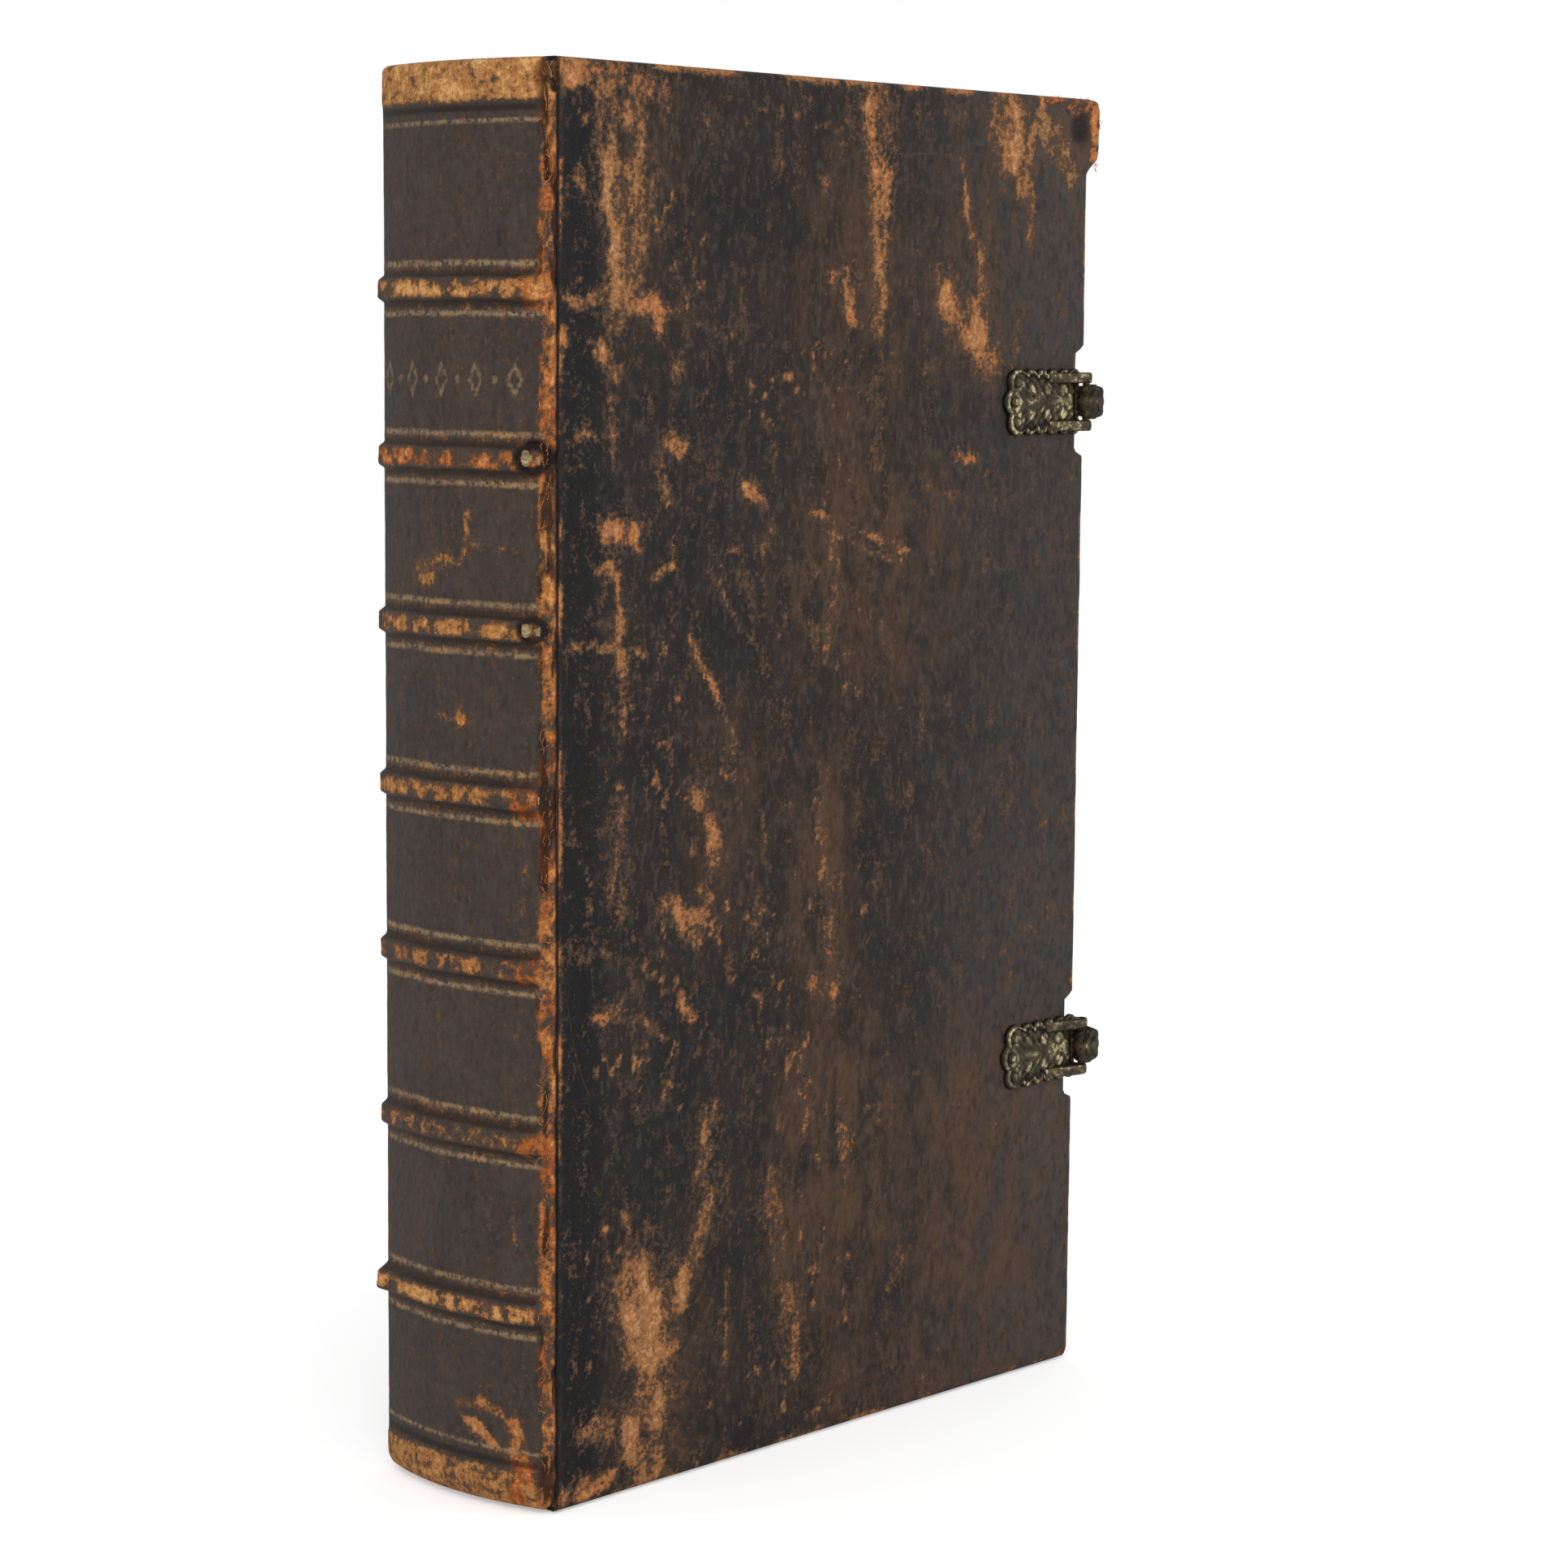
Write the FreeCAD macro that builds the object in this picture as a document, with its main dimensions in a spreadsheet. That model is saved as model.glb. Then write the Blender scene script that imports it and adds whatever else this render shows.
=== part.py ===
import FreeCAD, Part
import math
import os
import re
import Sketcher
from FreeCAD import Rotation, Vector

# An old folio book bound in leather over wooden boards, standing on its tail edges.
# Lengths are in millimetres. X runs from the spine to the fore-edge, Y from the front cover
# to the back cover and Z from tail to head. The model is drawn with X = 0 at the corner where
# the rounded spine meets the covers, Y = 0 halfway through the book and Z = 0 under the tail,
# and each piece's Placement moves it so that the origin lies under the middle of the book.

doc = FreeCAD.newDocument("LeatherBook")
sheet = doc.addObject("Spreadsheet::Sheet", "Sizes")
worked = doc.addObject("App::VarSet", "Worked")

# Driving dimensions: name, value, meaning.
sizes = [
    ("cover_height", 360.0, "covers, tail to head"),
    ("cover_width", 208.0, "spine corner to the fore-edge of the covers"),
    ("board_thick", 6.3, "wooden board"),
    ("leather_thick", 1.2, "leather over boards and spine"),
    ("turn_in_thick", 0.5, "pared leather turned in over the board's inner face"),
    ("turn_in_width", 18.0, "width of the turned-in leather"),
    ("block_thick", 43.8, "pressed thickness of the leaves"),
    ("leaf_thick", 0.3, "flyleaf"),
    ("closing_gap", 0.3, "air between a closed cover and its flyleaf"),
    ("square_width", 4.5, "how far the covers stand past the leaves"),
    ("fore_hollow", 4.0, "depth of the hollow fore-edge"),
    ("spine_rise", 5.6, "roundness of the spine"),
    ("spine_corner", 3.0, "rounding between spine and cover face"),
    ("spine_short", 0.6, "how far the spine leather stays inside head and tail"),
    ("joint_inset", 3.0, "joint line on the cover face, from the spine corner"),
    ("joint_gap", 0.3, "split between spine leather and cover leather"),
    ("lining_thick", 0.8, "paper linings on the back of the leaves"),
    ("cord_radius", 1.6, "raised sewing cord"),
    ("cord_margin", 0.6, "bare strip between a cord and the linings"),
    ("band_half", 3.6, "half the width of a raised band at its foot"),
    ("band_crown", 2.4, "half the width of a raised band at its crown"),
    ("tail_panel", 51.0, "middle of the lowest band above the tail"),
    ("head_panel", 55.4, "middle of the highest band below the head"),
    ("band_drift_2", 1.4, "second band above its even place"),
    ("band_drift_3", 2.3, "third band above its even place"),
    ("band_drift_4", 2.5, "fourth band above its even place"),
    ("band_drift_5", 1.5, "fifth band above its even place"),
    ("band_drift_6", 0.9, "sixth band above its even place"),
    ("cap_reach", 4.0, "leather turned in over the endband"),
    ("roll_height", 11.0, "swollen roll at head and tail of the spine"),
    ("roll_rise", 0.8, "how far that roll swells"),
    ("endband_gap", 0.1, "air between endband and cap"),
    ("corner_round", 3.5, "rounded fore-edge corners of the covers"),
    ("edge_round", 1.6, "rounded outer edges of the covers"),
    ("notch_depth", 3.5, "clasp notch in the fore-edge"),
    ("notch_half", 13.5, "half the height of that notch"),
    ("notch_slope", 2.0, "slope at both ends of the notch"),
    ("flap_reach", 4.5, "torn leather past the upper corner of the front cover"),
    ("flap_height", 20.0, "height of the torn leather"),
    ("flap_thick", 2.4, "swollen thickness of the torn leather"),
    ("tunnel_length", 16.0, "from the board's spine edge to the middle of a peg"),
    ("peg_radius", 2.2, "peg that wedges a cord in its tunnel"),
    ("upper_clasp_drop", 84.0, "middle of the upper clasp below the head"),
    ("upper_clasp_inset", 4.0, "end of the upper plates inside the fore-edge"),
    ("lower_clasp_z", 92.0, "middle of the lower clasp above the tail"),
    ("lower_clasp_inset", 1.0, "end of the lower plates inside the fore-edge"),
    ("plate_length", 33.0, "clasp plate, along the cover"),
    ("plate_height", 18.0, "clasp plate, tail to head"),
    ("plate_thick", 1.6, "clasp plate"),
    ("rib_rise", 0.7, "raised cast rib on a plate"),
    ("arm_width", 9.7, "clasp arm, tail to head"),
    ("arm_thick", 2.0, "clasp arm"),
    ("arm_reach", 8.4, "outer face of the arm past the end of the plates"),
    ("arm_round", 3.0, "outer bend of the arm"),
    ("hook_thick", 1.2, "hook and its lip"),
    ("clasp_gap", 0.3, "running clearance in the clasp"),
    ("bar_radius", 1.0, "catch bar"),
    ("bar_out", 0.8, "catch bar past the end of the plate"),
    ("lug_thick", 3.0, "lugs beside the hook and ears beside the knuckle"),
    ("lug_length", 13.0, "ramp of a lug along its plate"),
    ("lug_cover", 0.6, "metal over the catch bar"),
    ("pin_radius", 0.9, "hinge pin"),
    ("pin_gap", 0.1, "clearance of the knuckle on its pin"),
    ("knuckle_wall", 0.9, "metal round the pin"),
    ("rivet_radius", 0.9, "rivet shank"),
    ("rivet_head", 1.7, "rivet head"),
    ("rivet_rise", 0.8, "height of a rivet head"),
    ("rivet_bite", 4.0, "rivet in the wood"),
]

# Worked dimensions: name and formula.
formulas = [
    ("cover_inner", "block_thick / 2 + leaf_thick + closing_gap"),
    ("board_inner", "cover_inner + turn_in_thick"),
    ("board_outer", "board_inner + board_thick"),
    ("cover_face", "board_outer + leather_thick"),
    ("cover_start", "joint_inset + joint_gap / 2"),
    ("spine_end", "joint_inset - joint_gap / 2"),
    ("spine_radius", "(cover_face ^ 2 + spine_rise ^ 2) / (2 * spine_rise)"),
    ("spine_centre", "spine_radius - spine_rise"),
    ("spine_inner", "spine_radius - leather_thick"),
    ("spine_low", "spine_short"),
    ("spine_high", "cover_height - spine_short"),
    ("corner_share", "(cover_face - spine_corner) / (spine_radius - spine_corner)"),
    ("corner_depth", "sqrt(1 - corner_share ^ 2)"),
    ("corner_x", "spine_centre - (spine_radius - spine_corner) * corner_depth"),
    ("block_radius", "spine_inner - lining_thick"),
    ("block_low", "square_width"),
    ("block_high", "cover_height - square_width"),
    ("block_fore", "cover_width - square_width"),
    ("block_half", "block_thick / 2"),
    ("back_half", "block_radius * corner_share"),
    ("back_x", "spine_centre - block_radius * corner_depth"),
    ("back_angle", "2 * asin(corner_share) / 1deg"),
    ("shoulder_half", "board_outer - lining_thick"),
    ("hollow_radius", "(block_half ^ 2 + fore_hollow ^ 2) / (2 * fore_hollow)"),
    ("band_radius", "block_radius + 2 * cord_radius + leather_thick"),
    ("band_flank", "(spine_radius + band_radius) / 2"),
    ("band_curve", "(band_crown ^ 2 + (band_radius - band_flank) ^ 2) / (2 * (band_radius - band_flank))"),
    ("roll_curve", "(roll_height ^ 2 / 4 + roll_rise ^ 2) / (2 * roll_rise)"),
    ("band_step", "(cover_height - tail_panel - head_panel) / 6"),
    ("band_height_1", "tail_panel"),
    ("band_height_2", "tail_panel + band_step + band_drift_2"),
    ("band_height_3", "tail_panel + 2 * band_step + band_drift_3"),
    ("band_height_4", "tail_panel + 3 * band_step + band_drift_4"),
    ("band_height_5", "tail_panel + 4 * band_step + band_drift_5"),
    ("band_height_6", "tail_panel + 5 * band_step + band_drift_6"),
    ("band_height_7", "cover_height - head_panel"),
    ("upper_clasp_z", "cover_height - upper_clasp_drop"),
    ("upper_clasp_x", "cover_width - upper_clasp_inset"),
    ("lower_clasp_x", "cover_width - lower_clasp_inset"),
    ("cap_radius", "spine_radius - cap_reach"),
    ("cap_half", "sqrt(cap_radius ^ 2 - (spine_centre - spine_end) ^ 2)"),
    ("endband_radius", "(square_width - spine_short - leather_thick - endband_gap) / 2"),
    ("endband_inner", "block_radius - 2 * endband_radius"),
    ("endband_angle", "0.9 * back_angle"),
    ("board_middle", "board_inner + board_thick / 2"),
    ("peg_x", "cover_start + tunnel_length"),
    ("leaf_width", "block_fore - cover_start"),
    ("pastedown_width", "cover_width - leather_thick - turn_in_width - cover_start"),
    ("pastedown_low", "leather_thick + turn_in_width"),
    ("bar_height", "plate_thick + bar_radius + clasp_gap"),
    ("hook_inner", "bar_height + bar_radius + clasp_gap"),
    ("hook_outer", "hook_inner + hook_thick"),
    ("lip_outer", "bar_out - bar_radius - clasp_gap"),
    ("lip_inner", "lip_outer - hook_thick"),
    ("lip_height", "plate_thick + clasp_gap"),
    ("lug_height", "bar_height + bar_radius + lug_cover"),
    ("lug_end", "bar_out + bar_radius + lug_cover"),
    ("lug_low", "arm_width / 2 + clasp_gap"),
    ("lug_span", "2 * (lug_low + lug_thick)"),
    ("arm_inner", "arm_reach - arm_thick"),
    ("arm_bend", "arm_round - hook_thick"),
    ("pin_x", "arm_reach - arm_thick / 2"),
    ("pin_y", "cover_face + plate_thick / 2"),
    ("knuckle_bore", "pin_radius + pin_gap"),
    ("knuckle_radius", "knuckle_bore + knuckle_wall"),
    ("lobe_x", "-0.83 * plate_length"),
    ("lobe_z", "0.30 * plate_height"),
    ("lobe_end_x", "-0.86 * plate_length"),
    ("rivet_length", "rivet_bite + leather_thick + plate_thick"),
    ("rivet_root", "board_outer - rivet_bite"),
    ("book_reach", "max(upper_clasp_x; lower_clasp_x) + pin_x + knuckle_radius"),
    ("shift_x", "(spine_rise + band_radius - spine_radius - book_reach) / 2"),
    ("shift_y", "(hook_outer - plate_thick / 2 - knuckle_radius) / 2"),
]

owners = {}
for row, (alias, size, meaning) in enumerate(sizes, start=1):
    sheet.set(f"A{row}", meaning)
    sheet.set(f"B{row}", str(size))
    sheet.setAlias(f"B{row}", alias)
    owners[alias] = "Sizes"


def cells(formula):
    # Puts the owner's name before each named size in a formula.
    return re.sub(r"[a-z][a-z0-9_]*", lambda m: f"{owners[m[0]]}.{m[0]}" if m[0] in owners else m[0], formula)


doc.recompute()
for alias, formula in formulas:
    worked.addProperty("App::PropertyFloat", alias)
    worked.setExpression(alias, cells(formula))
    owners[alias] = "Worked"
    doc.recompute()


def value(formula):
    return float(worked.evalExpression(cells(formula)))


def bind(thing, **formulas_by_name):
    # Binds properties to formulas; a double underscore stands for the dot in a property's path.
    for name, formula in formulas_by_name.items():
        thing.setExpression(name.replace("__", "."), cells(formula))


def place(thing, x="0", y="0", z="0"):
    bind(thing, Placement__Base__x=x, Placement__Base__y=y, Placement__Base__z=z)


# Sketches

def draw_outline(sketch, corners):
    # Draws a closed outline. A corner is (x, y) or (x, y, radius, side): then an arc of that
    # radius runs to the next corner and bulges to the left (1) or to the right (-1) of the way.
    first = sketch.GeometryCount
    count = len(corners)
    points = [Vector(value(corner[0]), value(corner[1]), 0) for corner in corners]
    starts = []
    for index, corner in enumerate(corners):
        here, there = points[index], points[(index + 1) % count]
        if len(corner) == 2:
            geometry = sketch.addGeometry(Part.LineSegment(here, there))
        else:
            way = there - here
            radius = value(corner[2])
            sagitta = radius - math.sqrt(max(radius ** 2 - way.Length ** 2 / 4, 0))
            normal = Vector(-way.y, way.x, 0).normalize() * corner[3]
            middle = (here + there) * 0.5 + normal * sagitta
            geometry = sketch.addGeometry(Part.Arc(here, middle, there))
            rule = sketch.addConstraint(Sketcher.Constraint("Radius", geometry, radius))
            sketch.setExpression(f"Constraints[{rule}]", cells(corner[2]))
        starts.append(1 if sketch.getPoint(geometry, 1).distanceToPoint(here) < 1e-6 else 2)
    for index, corner in enumerate(corners):
        geometry = first + index
        before = (index - 1) % count
        sketch.addConstraint(
            Sketcher.Constraint("Coincident", first + before, 3 - starts[before], geometry, starts[index]))
        for kind, formula, size in (("DistanceX", corner[0], points[index].x),
                                    ("DistanceY", corner[1], points[index].y)):
            rule = sketch.addConstraint(Sketcher.Constraint(kind, -1, 1, geometry, starts[index], size))
            sketch.setExpression(f"Constraints[{rule}]", cells(formula))


def draw_circle(sketch, x, y, radius):
    centre = Vector(value(x), value(y), 0)
    geometry = sketch.addGeometry(Part.Circle(centre, Vector(0, 0, 1), value(radius)))
    for kind, formula, size in (("DistanceX", x, centre.x), ("DistanceY", y, centre.y)):
        rule = sketch.addConstraint(Sketcher.Constraint(kind, -1, 1, geometry, 3, size))
        sketch.setExpression(f"Constraints[{rule}]", cells(formula))
    rule = sketch.addConstraint(Sketcher.Constraint("Radius", geometry, value(radius)))
    sketch.setExpression(f"Constraints[{rule}]", cells(radius))


def plane_sketch(body, name, role, across="0", out="0", outlines=(), circles=()):
    # A sketch on one of the body's own origin planes, moved sideways and out of that plane.
    sketch = body.newObject("Sketcher::SketchObject", name)
    plane = next(feature for feature in body.Origin.OriginFeatures if feature.Role == role)
    sketch.AttachmentSupport = (plane, [""])
    sketch.MapMode = "FlatFace"
    bind(sketch, AttachmentOffset__Base__x=across, AttachmentOffset__Base__z=out)
    for corners in outlines:
        draw_outline(sketch, corners)
    for circle in circles:
        draw_circle(sketch, *circle)
    return sketch


def pad(body, sketch, length, reverse=False):
    feature = body.newObject("PartDesign::Pad", f"{sketch.Name}Pad")
    feature.Profile = sketch
    feature.Reversed = reverse
    bind(feature, Length=length)
    doc.recompute()
    return feature


def pocket_through(body, sketch):
    feature = body.newObject("PartDesign::Pocket", f"{sketch.Name}Pocket")
    feature.Profile = sketch
    feature.Type = "ThroughAll"
    feature.Midplane = True
    doc.recompute()
    return feature


def mirror_up_down(body, features):
    # Repeats features below the body's middle height.
    feature = body.newObject("PartDesign::Mirrored", f"{body.Name}Mirrored")
    feature.Originals = features
    plane = next(item for item in body.Origin.OriginFeatures if item.Role == "XY_Plane")
    feature.MirrorPlane = (plane, [""])
    body.Tip = feature
    doc.recompute()
    return feature


def turn(body, sketch, angle):
    # Turns a sketch about its own upright axis by half the angle to each side.
    feature = body.newObject("PartDesign::Revolution", f"{sketch.Name}Turn")
    feature.Profile = sketch
    feature.ReferenceAxis = (sketch, ["V_Axis"])
    feature.Midplane = True
    bind(feature, Angle=angle)
    doc.recompute()
    return feature


# Solids that are joined or cut

def combine(kind, name, shapes):
    feature = doc.addObject(f"Part::{kind}", name)
    if kind == "Compound":
        feature.Links = shapes
    else:
        feature.Shapes = shapes
    return feature


def cut(name, base, tool):
    feature = doc.addObject("Part::Cut", name)
    feature.Base = base
    feature.Tool = tool
    return feature


def cylinder(name, radius, height, x, y, z):
    feature = doc.addObject("Part::Cylinder", name)
    bind(feature, Radius=radius, Height=height)
    place(feature, x, y, z)
    return feature


def prism(name, sides, radius, height, x, y, z, axis):
    feature = doc.addObject("Part::Prism", name)
    feature.Polygon = sides
    feature.Placement.Rotation = Rotation(Vector(0, 0, 1), axis)
    bind(feature, Circumradius=radius, Height=height)
    place(feature, x, y, z)
    return feature


def box(name, length, width, height, x, y, z):
    feature = doc.addObject("Part::Box", name)
    bind(feature, Length=length, Width=width, Height=height)
    place(feature, x, y, z)
    return feature


nodes = []


def keep(thing, label, x="0", z="0"):
    # Names a finished sub-part and moves it from the drawing's origin to the book's.
    thing.Label = label
    place(thing, f"{x} + shift_x", "shift_y", z)
    nodes.append(thing)


bands = [f"band_height_{number}" for number in range(1, 8)]


# Leaves and spine

def text_block():
    # The sewn leaves: rounded back with shoulders for the boards, and a hollow fore-edge.
    body = doc.addObject("PartDesign::Body", "Leaves")
    section = plane_sketch(body, "LeavesSection", "XY_Plane", out="block_low", outlines=[[
        ("block_fore", "-block_half", "hollow_radius", 1),
        ("block_fore", "block_half"),
        ("spine_end", "block_half"),
        ("spine_end", "shoulder_half"),
        ("back_x", "back_half", "block_radius", -1),
        ("back_x", "-back_half"),
        ("spine_end", "-shoulder_half"),
        ("spine_end", "-block_half"),
    ]])
    pad(body, section, "block_high - block_low")
    keep(body, "text_block")


def spine_outline(depth):
    # The section of the spine, drawn at a depth under its outer surface.
    arc_x = f"spine_centre - (spine_radius - {depth}) * corner_depth"
    arc_y = f"(spine_radius - {depth}) * corner_share"
    face = f"cover_face - {depth}"
    return [
        ("spine_end", f"-({face})"),
        ("corner_x", f"-({face})", f"spine_corner - {depth}", 1),
        (arc_x, f"-({arc_y})", f"spine_radius - {depth}", 1),
        (arc_x, arc_y, f"spine_corner - {depth}", 1),
        ("corner_x", face),
        ("spine_end", face),
    ]


def band_outline(middle):
    # Half section of a raised band: sloping flanks and a round crown.
    return [
        ("-spine_inner", f"{middle} - band_half"),
        ("-spine_radius", f"{middle} - band_half"),
        ("-band_flank", f"{middle} - band_crown", "band_curve", 1),
        ("-band_flank", f"{middle} + band_crown"),
        ("-spine_radius", f"{middle} + band_half"),
        ("-spine_inner", f"{middle} + band_half"),
    ]


def roll_outline(low, high):
    return [
        ("-spine_inner", low),
        ("-spine_radius", low, "roll_curve", 1),
        ("-spine_radius", high),
        ("-spine_inner", high),
    ]


def spine_leather(cords):
    # Leather moulded over the cords, with a cap turned in over each endband.
    outside = doc.addObject("PartDesign::Body", "SpineOutside")
    section = plane_sketch(outside, "SpineSection", "XY_Plane", out="spine_low", outlines=[spine_outline("0")])
    pad(outside, section, "spine_high - spine_low")
    raised = [band_outline(middle) for middle in bands]
    raised.append(roll_outline("spine_low", "spine_low + roll_height"))
    raised.append(roll_outline("spine_high - roll_height", "spine_high"))
    turn(outside, plane_sketch(outside, "Raised", "XZ_Plane", across="spine_centre", outlines=raised), "back_angle")

    inside = doc.addObject("PartDesign::Body", "SpineInside")
    hollow = plane_sketch(inside, "SpineHollow", "XY_Plane", out="spine_low + leather_thick",
                          outlines=[spine_outline("leather_thick")])
    pad(inside, hollow, "spine_high - spine_low - 2 * leather_thick")
    mouth = plane_sketch(inside, "CapMouth", "XY_Plane", out="spine_low", outlines=[[
        ("spine_end", "-cap_half", "cap_radius", 1),
        ("spine_end", "cap_half"),
    ]])
    pad(inside, mouth, "spine_high - spine_low")
    keep(cut("SpineLeather", outside, combine("MultiFuse", "SpineCore", [inside, *cords])), "spine_leather")


def core_outline(inner, radius, middle):
    # Section of a cord pulled flat against the leaves: a flat foot and a faceted crown.
    return [
        (f"-{inner}", f"{middle} - {radius}"),
        (f"-{inner} - {radius}", f"{middle} - {radius}"),
        (f"-{inner} - 2 * {radius}", f"{middle} - {radius} / 2"),
        (f"-{inner} - 2 * {radius}", f"{middle} + {radius} / 2"),
        (f"-{inner} - {radius}", f"{middle} + {radius}"),
        (f"-{inner}", f"{middle} + {radius}"),
    ]


def cord_ring(number):
    # One raised sewing cord lying over the back of the leaves.
    body = doc.addObject("PartDesign::Body", f"Cord{number}")
    section = plane_sketch(body, f"CordSection{number}", "XZ_Plane", across="spine_centre",
                           outlines=[core_outline("block_radius", "cord_radius", f"band_height_{number}")])
    turn(body, section, "back_angle")
    return body


def spine_linings():
    # Paper panels pasted to the back of the leaves between the cords.
    body = doc.addObject("PartDesign::Body", "LiningSleeve")
    section = plane_sketch(body, "LiningSection", "XZ_Plane", across="spine_centre", outlines=[[
        ("-spine_inner", "block_low"),
        ("-block_radius", "block_low"),
        ("-block_radius", "block_high"),
        ("-spine_inner", "block_high"),
    ]])
    turn(body, section, "0.96 * back_angle")
    gaps = [box(f"LiningGap{index}", "spine_radius", "2 * cover_face", "2 * (cord_radius + cord_margin)",
                "-spine_radius + spine_end", "-cover_face", f"{middle} - cord_radius - cord_margin")
            for index, middle in enumerate(bands)]
    keep(cut("Linings", body, combine("MultiFuse", "LiningGaps", gaps)), "spine_linings")


def endband(label, middle):
    # A thread-wrapped core sewn along the end of the spine folds.
    body = doc.addObject("PartDesign::Body", label)
    section = plane_sketch(body, f"{label}_section", "XZ_Plane", across="spine_centre",
                           outlines=[core_outline("endband_inner", "endband_radius", middle)])
    turn(body, section, "endband_angle")
    keep(body, label)


# Covers: side is -1 for the front cover and 1 for the back cover

def cover_outline(inset):
    # Outline of a cover, drawn inside the leather's edge by an inset, with its clasp notches.
    edge = f"cover_width - {inset}"
    floor = f"cover_width - notch_depth - {inset}"
    top = f"cover_height - {inset}"
    curve = f"corner_round - {inset}"
    half = f"(notch_half + {inset})"
    corners = [
        ("cover_start", inset),
        (f"{edge} - ({curve})", inset, curve, -1),
        (edge, f"{inset} + ({curve})"),
    ]
    for middle in ("lower_clasp_z", "upper_clasp_z"):
        corners += [
            (edge, f"{middle} - {half} - notch_slope"),
            (floor, f"{middle} - {half}"),
            (floor, f"{middle} + {half}"),
            (edge, f"{middle} + {half} + notch_slope"),
        ]
    corners += [
        (edge, f"{top} - ({curve})", curve, -1),
        (f"{edge} - ({curve})", top),
        ("cover_start", top),
    ]
    return corners


def cover_slab(name, side, inset, depth, length):
    body = doc.addObject("PartDesign::Body", name)
    sketch = plane_sketch(body, f"{name}Sketch", "XZ_Plane", out=f"{-side} * ({depth})",
                          outlines=[cover_outline(inset)])
    pad(body, sketch, length, reverse=side > 0)
    return body


def round_outer_edges(body, side):
    # Rounds the head, tail and fore-edge rim of a cover's outer face, notches included.
    face = side * value("cover_face")
    start = value("cover_start")
    names = []
    for index, edge in enumerate(body.Shape.Edges, start=1):
        box_of_edge = edge.BoundBox
        on_face = abs(box_of_edge.YMin - face) < 1e-6 and abs(box_of_edge.YMax - face) < 1e-6
        if on_face and box_of_edge.XMax > start + 1e-3:
            names.append(f"Edge{index}")
    slab = body.Tip
    fillet = body.newObject("PartDesign::Fillet", f"{body.Name}Rim")
    fillet.Base = (slab, names)
    bind(fillet, Radius="edge_round")
    doc.recompute()


def torn_corner(body):
    # Leather torn loose and curling out past the upper fore-edge corner of the front cover.
    inside = "cover_width - corner_round - leather_thick"
    low = "cover_height - flap_height"
    sketch = plane_sketch(body, "TornCorner", "XZ_Plane", out="cover_face - flap_thick", outlines=[[
        (inside, low),
        ("cover_width + 0.3 * flap_reach", low),
        ("cover_width + 0.7 * flap_reach", f"{low} + 0.35 * flap_height"),
        ("cover_width + flap_reach", f"{low} + 0.75 * flap_height"),
        ("cover_width + 0.85 * flap_reach", f"{low} + 0.93 * flap_height"),
        (inside, f"{low} + 0.96 * flap_height"),
    ]])
    pad(body, sketch, "flap_thick")


def cover(word, side, rivets):
    # One cover: laced wooden board, its leather with turn-ins, and the paper pasted inside.
    outward = Vector(0, side, 0)
    sleeves = [box(f"{word}Sleeve{index}", "tunnel_length", "2 * cord_radius", "2 * cord_radius", "cover_start",
                   f"{side} * board_middle - cord_radius", f"{middle} - cord_radius")
               for index, middle in enumerate(bands)]
    pegs = [prism(f"{word}Peg{index}", 8, "peg_radius", "board_thick", "peg_x", f"{side} * board_inner",
                  middle, outward)
            for index, middle in enumerate(bands)]
    slips = cut(f"{word}Slips", combine("Compound", f"{word}Sleeves", sleeves),
                combine("MultiFuse", f"{word}PegHoles", pegs))

    blank = cover_slab(f"{word}Blank", side, "leather_thick", "board_inner", "board_thick")
    holes = combine("MultiFuse", f"{word}Holes", [*sleeves, *pegs, *rivets])
    board = cut(f"{word}Board", blank, holes)

    depth = "turn_in_thick"
    near = "cover_inner" if side > 0 else f"-cover_inner - {depth}"
    pastedown = box(f"{word}Pastedown", "pastedown_width", depth, "cover_height - 2 * pastedown_low",
                    "cover_start", near, "pastedown_low")

    skin = cover_slab(f"{word}Skin", side, "0", "cover_inner", "cover_face - cover_inner")
    round_outer_edges(skin, side)
    if side < 0:
        torn_corner(skin)
    inside = combine("MultiFuse", f"{word}Inside", [blank, pastedown, *rivets])
    leather = cut(f"{word}Leather", skin, inside)

    flyleaf_near = "block_half" if side > 0 else "-block_half - leaf_thick"
    flyleaf = box(f"{word}Flyleaf", "leaf_width", "leaf_thick", "block_high - block_low",
                  "cover_start", flyleaf_near, "block_low")
    name = word.lower()
    keep(board, f"{name}_board")
    keep(leather, f"{name}_cover_leather")
    keep(combine("Compound", f"{word}Endpaper", [pastedown]), f"{name}_pastedown")
    keep(slips, f"{name}_cord_slips")
    keep(combine("Compound", f"{word}Pegs", pegs), f"{name}_pegs")
    keep(combine("Compound", f"{word}Leaf", [flyleaf]), f"{name}_flyleaf")


# Clasps: cast plates drawn with X = 0 at their fore-edge end and Z = 0 at their middle

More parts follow.
